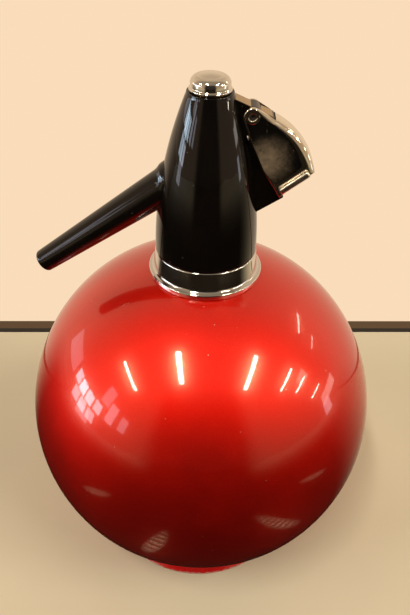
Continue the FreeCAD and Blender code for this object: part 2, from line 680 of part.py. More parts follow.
def head_shell():
    """Black moulded tower with its rear fin, pivot boss and valve boss, bored for what it holds."""
    body = new_body("head_shell")
    spin(body, "tower", [Corner("0", "tower_foot")] + tower_side() + [Corner("0", "tower_top")])
    roof_x = "pivot_x + stop_x - turn_gap * cos(STOP_ANGLE)"
    roof_z = "pivot_height - stop_drop - turn_gap * sin(STOP_ANGLE)"
    stop_foot_x = roof_x + " - stop_face * sin(-STOP_ANGLE)"
    stop_foot_z = roof_z + " - stop_face * cos(STOP_ANGLE)"
    block_foot = along_valve("barrel_out", "-block_drop")
    root_foot = along_valve("fin_root_x", "-block_drop")
    slab(body, "fin", [
        Corner("fin_root_x", "roof_start"), Corner(*root_foot), Corner(*block_foot),
        Corner(*along_valve("barrel_out", "block_lift")),
        Corner("pivot_x + web_x", "pivot_height - web_drop"), Corner(stop_foot_x, stop_foot_z),
        Corner(roof_x, roof_z)], "fin_t")
    rod(body, "pivot_boss", "bump_r", "-fin_t / 2", "fin_t",
        across="pivot_x", up="pivot_height", lying=True)
    room = "snug"
    spin(body, "core_room", [
        Corner("0", "tower_foot"), Corner("core_low_r + " + room, "tower_foot"),
        Corner("core_low_r + " + room, "core_low_top + end_play"),
        Corner("core_mid_r + " + room, "core_low_top + end_play"),
        Corner("core_mid_r + " + room, "core_mid_top + end_play"),
        Corner("port_body_r + end_play + " + room, "core_mid_top + end_play"),
        Corner("port_body_r + end_play + " + room, "tower_top - tower_lip_depth"),
        Corner("tower_lip_in_r", "tower_top - tower_lip_depth"), Corner("tower_lip_in_r", "tower_top"),
        Corner("0", "tower_top")], cut=True)
    rod(body, "barrel_hole", "barrel_r + snug", "core_mid_r", "barrel_out",
        up="valve_height", turn=VALVE_TURN, cut=True)
    rod(body, "spout_socket", "spout_spigot_r + snug", "spout_spigot_start - end_play", "tower_r",
        up="spout_height", turn=SPOUT_TURN, cut=True)
    rod(body, "liner_hole", "liner_r + liner_play", "core_mid_r - liner_r", "tower_r",
        up="spout_height", turn=SPOUT_TURN, cut=True)
    rod(body, "bush_hole", "bush_r", "-fin_t", "2 * fin_t",
        across="pivot_x", up="pivot_height", lying=True, cut=True)
    rod(body, "vent_hole", "relief_hole_r", "core_mid_r - relief_hole_r", "tower_r",
        up="relief_height", lying=True, cut=True)


def spout():
    """Tapered spout whose root is cut to the tower's side, with a spigot that enters the tower."""
    body = new_body("spout")
    cone = body.newObject("PartDesign::AdditiveCone", "taper")
    cone.setExpression("Radius1", bound("spout_root_r"))
    cone.setExpression("Radius2", bound("spout_tip_r"))
    cone.setExpression("Height", bound("spout_reach"))
    cone.Placement.Rotation = FreeCAD.Rotation(FreeCAD.Vector(0, 1, 0), number(SPOUT_TURN))
    cone.setExpression("Placement.Rotation.Angle", bound(SPOUT_TURN))
    cone.setExpression("Placement.Base.z", bound("spout_height"))
    doc.recompute()
    rim = max(range(len(cone.Shape.Edges)), key=lambda index: -cone.Shape.Edges[index].CenterOfMass.x)
    fillet = body.newObject("PartDesign::Fillet", "tip_edge")
    fillet.Base = (cone, ["Edge%d" % (rim + 1)])
    fillet.setExpression("Radius", bound("spout_edge"))
    above = "tower_top + spout_root_r"
    under = [Corner("0", "0"), Corner("tower_r + snug", "0")]
    over = [Corner("TOWER_TIP_R + snug", above), Corner("0", above)]
    spin(body, "saddle", under + tower_side("snug") + over, cut=True)
    rod(body, "spigot", "spout_spigot_r", "spout_spigot_start", "spout_spigot_end - spout_spigot_start",
        up="spout_height", turn=SPOUT_TURN)
    rod(body, "liner_room", "liner_r + liner_play", "0", "spout_reach - liner_tip_gap",
        up="spout_height", turn=SPOUT_TURN, cut=True)
    rod(body, "mouth", "liner_r - liner_wall", "0", "2 * spout_reach",
        up="spout_height", turn=SPOUT_TURN, cut=True)


def spout_liner():
    """Metal tube screwed into the core, which carries the water to the spout's mouth."""
    end = "spout_reach - liner_tip_gap - end_play"
    ring("spout_liner", "liner_r - liner_wall", "liner_r", "liner_start", end, **SPOUT_AT)


# ---------------------------------------------------------------------------- valve
def valve_barrel():
    """Cartridge from the boss's end face to past the tower's axis: chamber, seat, outlet, gland."""
    body = new_body("valve_barrel", **VALVE_AT)
    seat_end = "seat_at + seat_t"
    guide_end = "outlet_end + guide_t"
    guide = "stem_r + running"
    flange_top = "barrel_out + barrel_flange_t"
    spin(body, "cartridge", [
        Corner("barrel_r", "-barrel_in"), Corner("barrel_r", "barrel_out"),
        Corner("barrel_flange_r", "barrel_out"), Corner("barrel_flange_r", flange_top),
        Corner("gland_r", flange_top), Corner("gland_r", guide_end),
        Corner(guide, guide_end), Corner(guide, "outlet_end"), Corner("outlet_chamber_r", "outlet_end"),
        Corner("outlet_chamber_r", seat_end), Corner("seat_r", seat_end), Corner("seat_r", "seat_at"),
        Corner("chamber_r", "seat_at"), Corner("chamber_r", "-barrel_in")])
    rod(body, "inlet_hole", "port_hole_r", "0", "barrel_r", turn="90", cut=True)
    rod(body, "outlet_hole", "port_hole_r", "0", "barrel_r", up="outlet_at", turn="-90", cut=True)


def gland():
    """Seal round the stem and the long sleeve that holds it and guides the stem."""
    guide_end = "outlet_end + guide_t"
    seal_end = guide_end + " + gland_seal_t"
    sleeve_end = "barrel_out + barrel_flange_t"
    ring("gland_seal", "stem_r + seal_squeeze", "gland_r", guide_end, seal_end, **VALVE_AT)
    ring("gland_sleeve", "stem_r + running", "gland_r", seal_end, sleeve_end, **VALVE_AT)


def valve_stem():
    """Push rod: a tail for the nut, the shaft through seat and gland, and a domed outer end."""
    body = new_body("valve_stem", **VALVE_AT)
    shoulder = "seat_at - end_play"
    dome = "stem_out - stem_dome_r + sqrt(stem_dome_r^2 - stem_r^2)"
    spin(body, "rod", [
        Corner("0", "-stem_tail_in"), Corner("stem_tail_r", "-stem_tail_in"),
        Corner("stem_tail_r", shoulder), Corner("stem_r", shoulder), Corner("stem_r", dome),
        Bow("stem_dome_r", 1), Corner("0", "stem_out")])


def valve_moving_rings():
    """The washer that closes on the seat and the nut that clamps it on the stem's tail."""
    face = "seat_at - end_play"
    back = face + " - washer_t"
    ring("valve_washer", "stem_tail_r", "washer_r", back, face, **VALVE_AT)
    ring("stem_nut", "stem_tail_r", "stem_nut_r", back + " - stem_nut_t", back, **VALVE_AT)


def valve_spring():
    """Return spring between the barrel bore's floor and the stem's nut."""
    top = "seat_at - end_play - washer_t - stem_nut_t - snug"
    coil("valve_spring", "spring_r", "spring_wire_r", "spring_turns", "-barrel_in + snug", top,
         up=VALVE_AT["up"], turn=VALVE_TURN)


# ---------------------------------------------------------------------------- lever
SOLE_LENGTH = "sqrt((heel_x - toe_x)^2 + (toe_drop - heel_drop)^2)"


def over_sole(along, over):
    """A point by its distance from the toe along the sole and over it."""
    run = "(heel_x - toe_x) / %s" % SOLE_LENGTH
    rise = "(toe_drop - heel_drop) / %s" % SOLE_LENGTH
    return ("toe_x + (%s) * %s - (%s) * %s" % (along, run, over, rise),
            "-toe_drop + (%s) * %s + (%s) * %s" % (along, rise, over, run))


def on_boss(radius, angle):
    """A point on a circle about the pivot."""
    return "(%s) * cos(%s)" % (radius, angle), "(%s) * sin(%s)" % (radius, angle)


TOP_ANGLE = "90 + STOP_ANGLE"      # where the top edge leaves the boss


def lever_side():
    """The lever's outline seen from the side, from the boss round the back to the throat."""
    return [
        Corner(*on_boss("boss_r", TOP_ANGLE)), Corner("stop_x", "-stop_drop"), Bow("back_bow_r", -1),
        Corner("heel_x", "-heel_drop"), Corner("toe_x", "-toe_drop", "toe_round"),
        Corner("throat_x", "-throat_drop"), Corner("neck_x", "-neck_drop"),
        Corner("-boss_r * boss_meet_x", "-boss_r * boss_meet_drop"), Bow("boss_r", -1)]


def lever_frame():
    """Bright one-piece lever: two cheeks, the curved strap, the sole and the rib that pushes the stem."""
    body = new_body("lever_frame", **LEVER_AT)
    slab(body, "block", lever_side(), "lever_w")
    inner_w = "lever_w - 2 * cheek_t"
    strap_in = ("stop_x + strap_t * sin(STOP_ANGLE)", "-stop_drop - strap_t * cos(STOP_ANGLE)")
    strap_over = ("stop_x - boss_r * sin(STOP_ANGLE)", "-stop_drop + boss_r * cos(STOP_ANGLE)")
    sole_inner = over_sole("(%s) - strap_t" % SOLE_LENGTH, "sole_t")
    sole_mouth = over_sole("(sole_start - barrel_out) + toe_round", "sole_t")
    sole_under = over_sole("(sole_start - barrel_out) + toe_round", "-sole_t")
    slab(body, "room", [
        Corner(*strap_over), Corner(*strap_in), Bow("back_bow_r - strap_t", -1), Corner(*sole_inner),
        Corner(*sole_mouth), Corner(*sole_under), Corner("toe_x", "-toe_drop - 2 * sole_t"),
        Corner("-boss_r", "-toe_drop - 2 * sole_t"),
        Corner("-2 * boss_r", "boss_r * 2"), Corner("0", "boss_r * 2")], inner_w, cut=True)
    rod(body, "rib", "rib_r", "stem_out + rib_gap", "HEEL_ALONG + rib_past_heel - stem_out - rib_gap",
        across="-pivot_x", up="valve_height - pivot_height", turn=VALVE_TURN)
    for name, side in (("left", -1), ("right", 1)):
        plane = "%d * (lever_w / 2 - inlay_sink)" % -side
        slab(body, "recess_" + name, inlay_side("0"), "inlay_sink", cut=True, offset=plane, outwards=-side)
        start = "lever_w / 2 - inlay_sink" if side > 0 else "-lever_w / 2"
        rod(body, "ring_" + name, "ring_r", start, "inlay_sink", lying=True)
    rod(body, "pin_hole", "pin_r", "-lever_w", "2 * lever_w", lying=True, cut=True)


def inlay_side(gap):
    """The outline of an inlay, inside the bright rim by a gap."""
    back = "rim_back + (%s)" % gap
    top = "rim_top + (%s)" % gap
    throat = "rim_throat + (%s)" % gap
    sole = "rim_sole + (%s)" % gap
    return [
        Corner(*on_boss("boss_r - (%s)" % top, TOP_ANGLE)),
        Corner("stop_x - (%s)" % top, "-stop_drop - (%s) * rim_stop_share" % top),
        Bow("inlay_bow_r - (%s)" % gap, -1),
        Corner(*over_sole("%s - (%s) * rim_heel_share" % (SOLE_LENGTH, back), sole)),
        Corner(*over_sole("(%s) * rim_toe_share" % sole, sole)),
        Corner("throat_x + (%s)" % throat, "-throat_drop"), Corner("neck_x + (%s)" % throat, "-neck_drop"),
        Corner("-(boss_r - (%s)) * boss_meet_x" % throat, "-(boss_r - (%s)) * boss_meet_drop" % throat),
        Bow("boss_r - (%s)" % throat, -1)]


def lever_inlays():
    """Black plates let into the cheeks, each with a round hole for the ring about the pin."""
    for name, side in (("left", -1), ("right", 1)):
        body = new_body("lever_inlay_" + name, **LEVER_AT)
        plane = "%d * (lever_w / 2 - inlay_sink)" % -side
        slab(body, "plate", inlay_side("inlay_gap"), "inlay_t", offset=plane, outwards=-side)
        rod(body, "ring_hole", "ring_r + inlay_gap", "-lever_w", "2 * lever_w", lying=True, cut=True)


def pivot():
    """The lever's pin, fast in its cheeks, and the bush in the fin that it turns in."""
    body = new_body("pivot_pin", **LEVER_AT)
    rod(body, "pin", "pin_r", "-lever_w / 2 + pin_sink", "lever_w - 2 * pin_sink", lying=True)
    body = new_body("pivot_bush", **LEVER_AT)
    rod(body, "bush", "bush_r", "-fin_t / 2", "fin_t", lying=True)
    rod(body, "bore", "pin_r + running", "-fin_t / 2", "fin_t", lying=True, cut=True)


# ---------------------------------------------------------------------------- charging port and cap
def charge_port():
    """Threaded nipple over the core: holds the tower down, takes the gas bulb and the check valve."""
    body = new_body("charge_port")
    flange_foot = "tower_top - tower_lip_depth"
    flange_top = "tower_top - tower_lip_depth + port_flange_t"
    spin(body, "nipple", [
        Corner("check_bore_r", "port_thread_foot"), Corner("port_thread_r", "port_thread_foot"),
        Corner("port_thread_r", "core_tip_top"), Corner("port_body_r", "core_tip_top"),
        Corner("port_body_r", flange_foot), Corner("port_flange_r", flange_foot),
        Corner("port_flange_r", flange_top), Corner("port_rim_r", flange_top),
        Corner("port_rim_r", "port_rim_top"), Corner("port_pit_r", "port_rim_top"),
        Corner("port_pit_r", "port_pit_floor"), Corner("needle_r", "port_pit_floor"),
        Corner("needle_r", "needle_foot"), Corner("check_way_r", "needle_foot"),
        Corner("check_way_r", "check_seat"), Corner("check_bore_r", "check_seat")])


def piercing_pin():
    """Hollow pointed pin that opens the gas bulb."""
    body = new_body("piercing_pin")
    spin(body, "needle", [
        Corner("needle_bore_r", "needle_foot"), Corner("needle_r", "needle_foot"),
        Corner("needle_r", "pin_tip - pin_point_h"), Corner("needle_bore_r + pin_point_r", "pin_tip"),
        Corner("needle_bore_r", "pin_tip")])


def port_gasket():
    """Ring the bulb's neck is pressed on."""
    ring("port_gasket", "port_gasket_in_r", "port_pit_r", "port_pit_floor", "port_pit_floor + port_gasket_t")


def check_valve():
    """Poppet that closes upwards on the port's seat, and its spring on the core's floor."""
    top = "check_seat - seal_squeeze"
    underside = top + " - poppet_t"
    tail_end = underside + " - poppet_tail_t"
    tail_r = "check_spring_r - 2 * check_wire_r"
    body = new_body("check_poppet")
    spin(body, "poppet", [
        Corner("0", tail_end), Corner(tail_r, tail_end), Corner(tail_r, underside),
        Corner("poppet_r", underside), Corner("poppet_r", top), Corner("0", top)])
    coil("check_spring", "check_spring_r", "check_wire_r", "check_turns",
         "check_floor + snug", underside + " - snug", up=HEAD)


def cap():
    """Bright domed cap over the port, with a flared lip."""
    body = new_body("cap")
    foot = "tower_top + turn_gap"
    inner = "port_rim_r + thread_play"
    roof = "cap_top - cap_roof_t"
    shoulder = "cap_top - cap_crown_r + sqrt(cap_crown_r^2 - (cap_r - cap_round)^2)"
    spin(body, "dome", [
        Corner(inner, foot), Corner("cap_lip_r", foot), Corner("cap_lip_r", foot + " + cap_lip_edge_h"),
        Corner("cap_r", foot + " + cap_lip_h"),
        Corner("cap_r", "cap_top - cap_round"), Bow("cap_round", 1),
        Corner("cap_r - cap_round", shoulder), Bow("cap_crown_r", 1),
        Corner("0", "cap_top"), Corner("0", roof), Corner(inner, roof)])
    disc("cap_liner", "cap_liner_r", roof + " - cap_liner_t", roof)


# ---------------------------------------------------------------------------- build, test and write
for build in (
        vessel_shell, neck_ring, foot_ring, foot_pad, collar, head_core, neck_gasket, tubes, way_plugs,
        relief, head_shell, spout, spout_liner, valve_barrel, gland, valve_stem, valve_moving_rings,
        valve_spring, lever_frame, lever_inlays, pivot, charge_port, piercing_pin, port_gasket,
        check_valve, cap):
    build()
doc.recompute()

problems = []
for item in doc.Objects:
    if {"Invalid", "Error"} & set(item.State):
        problems.append("%s is %s" % (item.Label, item.State))
    if item.TypeId in ("PartDesign::Groove", "PartDesign::Pocket", "PartDesign::SubtractiveCylinder",
                       "PartDesign::SubtractiveBox"):
        if item.Shape.Volume >= item.BaseFeature.Shape.Volume:
            problems.append("%s in %s cuts nothing" % (item.Label, item.BaseFeature.Label))
for item in PARTS:
    if item.Shape.isNull() or not item.Shape.isValid() or item.Shape.Volume <= 0:
        problems.append("%s has no valid solid" % item.Label)
if problems:
    raise RuntimeError("; ".join(problems))

os.makedirs("parts", exist_ok=True)
for item in PARTS:
    item.Shape.exportStep("parts/%s.step" % item.Label)
    print("%-20s %d solid(s) %10.2f mm3" % (item.Label, len(item.Shape.Solids), item.Shape.Volume))
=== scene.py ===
"""Looks of the ball-shaped soda siphon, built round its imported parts, in metres.

The vessel's axis is Z. The spout falls towards -X, and the lever stands towards +X.
"""
import logging
import math
from collections.abc import Callable
from dataclasses import dataclass, field
from enum import Enum

import bmesh
import bpy
from mathutils import Matrix, Vector


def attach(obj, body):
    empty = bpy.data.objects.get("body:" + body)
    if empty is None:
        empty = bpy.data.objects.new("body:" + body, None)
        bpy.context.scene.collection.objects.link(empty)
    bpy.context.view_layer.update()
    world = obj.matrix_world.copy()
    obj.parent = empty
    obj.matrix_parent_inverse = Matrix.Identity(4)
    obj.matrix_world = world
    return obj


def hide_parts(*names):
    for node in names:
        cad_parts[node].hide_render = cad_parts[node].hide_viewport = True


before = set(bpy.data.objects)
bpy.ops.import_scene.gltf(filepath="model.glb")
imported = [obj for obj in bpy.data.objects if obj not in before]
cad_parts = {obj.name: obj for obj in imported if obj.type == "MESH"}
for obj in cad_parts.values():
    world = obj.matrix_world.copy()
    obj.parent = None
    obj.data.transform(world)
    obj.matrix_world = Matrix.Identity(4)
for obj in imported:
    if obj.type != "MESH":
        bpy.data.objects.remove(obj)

LOG = logging.getLogger("siphon")

# Sizes that several sub-assemblies share, in millimetres unless another unit is named.
MM = 0.001              # a millimetre in metres
AROUND = 160            # steps round a turned piece
AROUND_SEEN = 192       # steps round the largest turned pieces
ROOM_SHARE = 0.49       # how much of an edge the rounding of one corner may use
MERGE = 0.000002        # points nearer than this are one, in metres
SMOOTH = 35.0           # edges flatter than this are shaded smooth, in degrees
BALL_R = 70.0
LAND_R = 17.5           # the raised land round the mouth
LAND_RISE = 0.72
HEAD_Z = 140.4972       # top of the land, where the head sits

Spot = tuple[float, float]
Corner = tuple[float, float, float]
Colour = tuple[float, float, float]
Piece = bpy.types.Object
Node = bpy.types.Node
Socket = bpy.types.NodeSocket
Sockets = bpy.types.bpy_prop_collection
Wire = Callable[["Board", Sockets], tuple[Socket, ...]]


class Body(Enum):
    """The moving bodies of the siphon."""

    VESSEL = "vessel"
    HEAD = "head"
    COLLAR = "collar"
    LEVER = "lever"
    STEM = "stem"
    CHECK = "check"
    CAP = "cap"


class Slot(Enum):
    """The material slots."""

    VESSEL_RED = "vessel_red"
    FOOT_RED = "foot_red"
    CHROME = "chrome"
    BLACK = "black_plastic"
    INLAY = "black_inlay"
    BRASS = "brass"
    STEEL = "steel"
    RUBBER = "rubber"
    SEAL = "seal"
    TUBE = "tube_plastic"
    FOIL = "foil"


class Cut(Enum):
    """What a boolean does with its tool."""

    AWAY = "DIFFERENCE"
    ON = "UNION"


# ------------------------------------------------------------------ outlines


def on_circle(centre: Spot | Vector, radius: float, angle: float) -> Spot:
    """The point of a circle at an angle in radians."""
    return (centre[0] + radius * math.cos(angle), centre[1] + radius * math.sin(angle))


def arc(centre: Spot, radius: float, start: float, end: float, steps: int) -> list[Spot]:
    """Points along an arc.

    Args:
        centre: Middle of the arc.
        radius: Its radius.
        start: First angle in degrees.
        end: Last angle in degrees.
        steps: Number of chords.

    Returns:
        steps + 1 points.
    """
    return [on_circle(centre, radius, math.radians(start + (end - start) * index / steps))
            for index in range(steps + 1)]


def bow(start: Spot, end: Spot, radius: float, turn: int, steps: int) -> list[Spot]:
    """The inner points of an arc of a radius from start to end.

    Args:
        start: Where it starts; not returned.
        end: Where it ends; not returned.
        radius: Its radius.
        turn: 1 anticlockwise, -1 clockwise.
        steps: Number of chords.

    Returns:
        steps - 1 points.
    """
    chord = Vector(end) - Vector(start)
    left = Vector((-chord.y, chord.x)) / chord.length
    rise = math.sqrt(radius**2 - chord.length**2 / 4)
    middle = (Vector(start) + Vector(end)) / 2 + left * rise * turn
    first = math.atan2(start[1] - middle.y, start[0] - middle.x)
    sweep = 2 * math.asin(chord.length / 2 / radius) * turn
    return [on_circle(middle, radius, first + sweep * index / steps) for index in range(1, steps)]


def rounded(corners: list[Corner], closed: bool, steps: int = 5) -> list[Spot]:
    """An outline with its corners rounded.

    Args:
        corners: Each corner as across, up and rounding radius.
        closed: Whether the last corner joins the first.
        steps: Chords in each rounding.

    Returns:
        The outline's points.
    """
    path: list[Spot] = []
    count = len(corners)
    for index, (across, up, soft) in enumerate(corners):
        here = Vector((across, up))
        if soft <= 0 or (not closed and index in (0, count - 1)):
            path.append((across, up))
            continue
        before = Vector(corners[index - 1][:2]) - here
        after = Vector(corners[(index + 1) % count][:2]) - here
        room = ROOM_SHARE * min(before.length, after.length)
        before.normalize()
        after.normalize()
        half = before.angle(after) / 2
        setback = min(soft / math.tan(half), room)
        radius = setback * math.tan(half)
        middle = here + (before + after).normalized() * radius / math.sin(half)
        first = here + before * setback - middle
        last = here + after * setback - middle
        sweep = math.atan2(first.x * last.y - first.y * last.x, first.dot(last))
        start = math.atan2(first.y, first.x)
        path += [on_circle(middle, radius, start + sweep * step / steps) for step in range(steps + 1)]
    return path


def raised(path: list[Spot]) -> list[Spot]:
    """An outline lifted from the neck land to its place."""
    return [(across, HEAD_Z + up) for across, up in path]


def thread(crest: float, depth: float, start: float, stop: float, pitch: float, soft: float) -> list[Corner]:
    """Corners of a thread's ridges, from its foot up.

    Args:
        crest: Radius at the crests.
        depth: How deep the grooves are.
        start: Height of the first groove.
        stop: Height that no ridge passes.
        pitch: Distance from ridge to ridge.
        soft: Rounding of each corner.

    Returns:
        The corners, which start and end in a groove.
    """
    corners: list[Corner] = []
    height = start
    while height + pitch <= stop:
        corners += [(crest - depth, height, soft), (crest, height + pitch * 0.45, soft),
                    (crest, height + pitch * 0.6, soft)]
        height += pitch
    return corners + [(crest - depth, height, soft)]


# ------------------------------------------------------------------ workbench


class Bench:
    """The steps that every piece is modelled with."""

    @staticmethod
    def clear() -> None:
        """Leave edit mode and deselect everything."""
        if bpy.context.object is not None and bpy.context.object.mode != "OBJECT":
            bpy.ops.object.mode_set(mode="OBJECT")
        bpy.ops.object.select_all(action="DESELECT")

    @staticmethod
    def choose(piece: Piece) -> None:
        """Make one piece the only one that is selected.

        Args:
            piece: The piece.
        """
        Bench.clear()
        piece.select_set(True)
        bpy.context.view_layer.objects.active = piece

    @staticmethod
    def draw(name: str, path: list[Spot]) -> Piece:
        """Draw a chain of edges in the XZ plane and stay in edit mode.

        Args:
            name: The new piece's name.
            path: Its points in millimetres.

        Returns:
            The piece.
        """
        Bench.clear()
        bpy.ops.mesh.primitive_plane_add(size=MM, location=(0.0, 0.0, 0.0))
        piece = bpy.context.object
        piece.name = name
        piece.data.name = name
        bpy.ops.object.mode_set(mode="EDIT")
        bpy.ops.mesh.select_mode(type="VERT")
        bpy.ops.mesh.select_all(action="SELECT")
        bpy.ops.mesh.merge(type="CENTER")
        bpy.ops.transform.translate(value=(path[0][0] * MM, 0.0, path[0][1] * MM))
        for last, here in zip(path, path[1:]):
            step = ((here[0] - last[0]) * MM, 0.0, (here[1] - last[1]) * MM)
            bpy.ops.mesh.extrude_region_move(TRANSFORM_OT_translate={"value": step})
        return piece

    @staticmethod
    def merge() -> None:
        """Select the whole mesh and merge its doubles."""
        bpy.ops.mesh.select_all(action="SELECT")
        bpy.ops.mesh.remove_doubles(threshold=MERGE)
        bpy.ops.mesh.select_all(action="SELECT")

    @staticmethod
    def shade(smooth: float = SMOOTH) -> None:
        """Shade the chosen piece smooth where its edges are flatter than some degrees."""
        bpy.ops.object.shade_smooth_by_angle(angle=math.radians(smooth))

    @staticmethod
    def finish(piece: Piece, smooth: float = SMOOTH) -> Piece:
        """Merge doubles, turn the faces outwards and shade by angle.

        Args:
            piece: A piece in edit mode.
            smooth: Edges sharper than this many degrees stay sharp.

        Returns:
            The piece in object mode.
        """
        Bench.merge()
        bpy.ops.mesh.normals_make_consistent(inside=False)
        bpy.ops.object.mode_set(mode="OBJECT")
        Bench.choose(piece)
        Bench.shade(smooth)
        return piece

    @staticmethod
    def turned(name: str, path: list[Spot], closed: bool = True, around: int = AROUND,
               smooth: float = SMOOTH) -> Piece:
        """Spin an outline about Z.

        Args:
            name: The new piece's name.
            path: Radius and height of each point in millimetres.
            closed: Whether the outline closes on itself; else it starts and ends on the axis.
            around: Steps round the turn.
            smooth: Angle under which edges are shaded smooth, in degrees.

        Returns:
            The turned piece.
        """
        outline = path + [path[0]] if closed else path
        piece = Bench.draw(name, outline)
        bpy.ops.mesh.select_all(action="SELECT")
        bpy.ops.mesh.spin(steps=around, angle=math.tau, center=(0.0, 0.0, 0.0), axis=(0.0, 0.0, 1.0))
        return Bench.finish(piece, smooth)

    @staticmethod
    def rod(name: str, radius: float, low: float, high: float, around: int = 48) -> Piece:
        """Turn a plain rod about Z, mostly as a tool.

        Args:
            name: The new piece's name.
            radius: Its radius in millimetres.
            low: Z of one end.
            high: Z of the other end.
            around: Steps round the turn.

        Returns:
            The rod.
        """
        return Bench.turned(name, [(0.0, low), (radius, low), (radius, high), (0.0, high)], closed=False,
                            around=around)

    @staticmethod
    def slab(name: str, path: list[Spot], low: float, high: float) -> Piece:
        """Fill an outline in the XZ plane and thicken it along Y.

        Args:
            name: The new piece's name.
            path: The outline in millimetres.
            low: Y of one side in millimetres.
            high: Y of the other side.

        Returns:
            The slab.
        """
        piece = Bench.draw(name, path + [path[0]])
        Bench.merge()
        bpy.ops.mesh.edge_face_add()
        bpy.ops.transform.translate(value=(0.0, low * MM, 0.0))
        move = {"value": (0.0, (high - low) * MM, 0.0)}
        bpy.ops.mesh.extrude_region_move(TRANSFORM_OT_translate=move)
        return Bench.finish(piece)

    @staticmethod
    def loft(name: str, loops: list[list[Corner]]) -> Piece:
        """Skin a row of loops that have the same number of points.

        Args:
            name: The new piece's name.
            loops: Points of each loop, from one end to the other, in millimetres.

        Returns:
            The closed skin.
        """
        first = loops[0]
        flat = [(corner[0], corner[2]) for corner in first]
        piece = Bench.draw(name, flat + [flat[0]])
        Bench.merge()
        bpy.ops.transform.translate(value=(0.0, first[0][1] * MM, 0.0))
        bpy.ops.mesh.edge_face_add()
        for last, here in zip(loops, loops[1:]):
            bpy.ops.mesh.extrude_region_move()
            skin = bmesh.from_edit_mesh(piece.data)
            for point in [point for point in skin.verts if point.select]:
                gaps = [(point.co - Vector(corner) * MM).length_squared for corner in last]
                point.co = Vector(here[gaps.index(min(gaps))]) * MM
            bmesh.update_edit_mesh(piece.data)
        return Bench.finish(piece)

    @staticmethod
    def soften(piece: Piece, width: float, segments: int = 4, limit: float = 50.0) -> None:
        """Round a piece's sharp edges.

        Args:
            piece: The piece.
            width: Width of the rounding in millimetres.
            segments: Faces across it.
            limit: Edges sharper than this many degrees are rounded.
        """
        Bench.choose(piece)
        step = piece.modifiers.new("rounding", "BEVEL")
        step.width = width * MM
        step.segments = segments
        step.limit_method = "ANGLE"
        step.angle_limit = math.radians(limit)
        step.harden_normals = False
        bpy.ops.object.modifier_apply(modifier=step.name)
        Bench.shade()

    @staticmethod
    def combine(piece: Piece, tool: Piece, how: Cut) -> None:
        """Cut a tool out of a piece, or weld it on, and drop the tool.

        Args:
            piece: The piece.
            tool: The tool, a piece of its own until then.
            how: Which of the two.
        """
        Bench.choose(piece)
        step = piece.modifiers.new("tooling", "BOOLEAN")
        step.operation = how.value
        step.solver = "EXACT"
        step.object = tool
        bpy.ops.object.modifier_apply(modifier=step.name)
        bpy.data.objects.remove(tool, do_unlink=True)
        Bench.choose(piece)
        Bench.shade()

    @staticmethod
    def join(piece: Piece, others: list[Piece]) -> None:
        """Join separate shells into one piece.

        Args:
            piece: The piece that takes them in.
            others: The shells.
        """
        Bench.choose(piece)
        for other in others:
            other.select_set(True)
        bpy.ops.object.join()

    @staticmethod
    def put(piece: Piece, place: Vector, turn: Corner) -> Piece:
        """Turn and move a piece, then fix that in its mesh.

        Args:
            piece: A piece modelled about Z at the origin.
            place: Where its origin goes, in millimetres.
            turn: Rotation about X, Y and Z in degrees.

        Returns:
            The piece.
        """
        Bench.choose(piece)
        piece.rotation_euler = tuple(math.radians(value) for value in turn)
        piece.location = place * MM
        bpy.ops.object.transform_apply(location=True, rotation=True, scale=True)
        return piece


# ------------------------------------------------------------------ shader boards


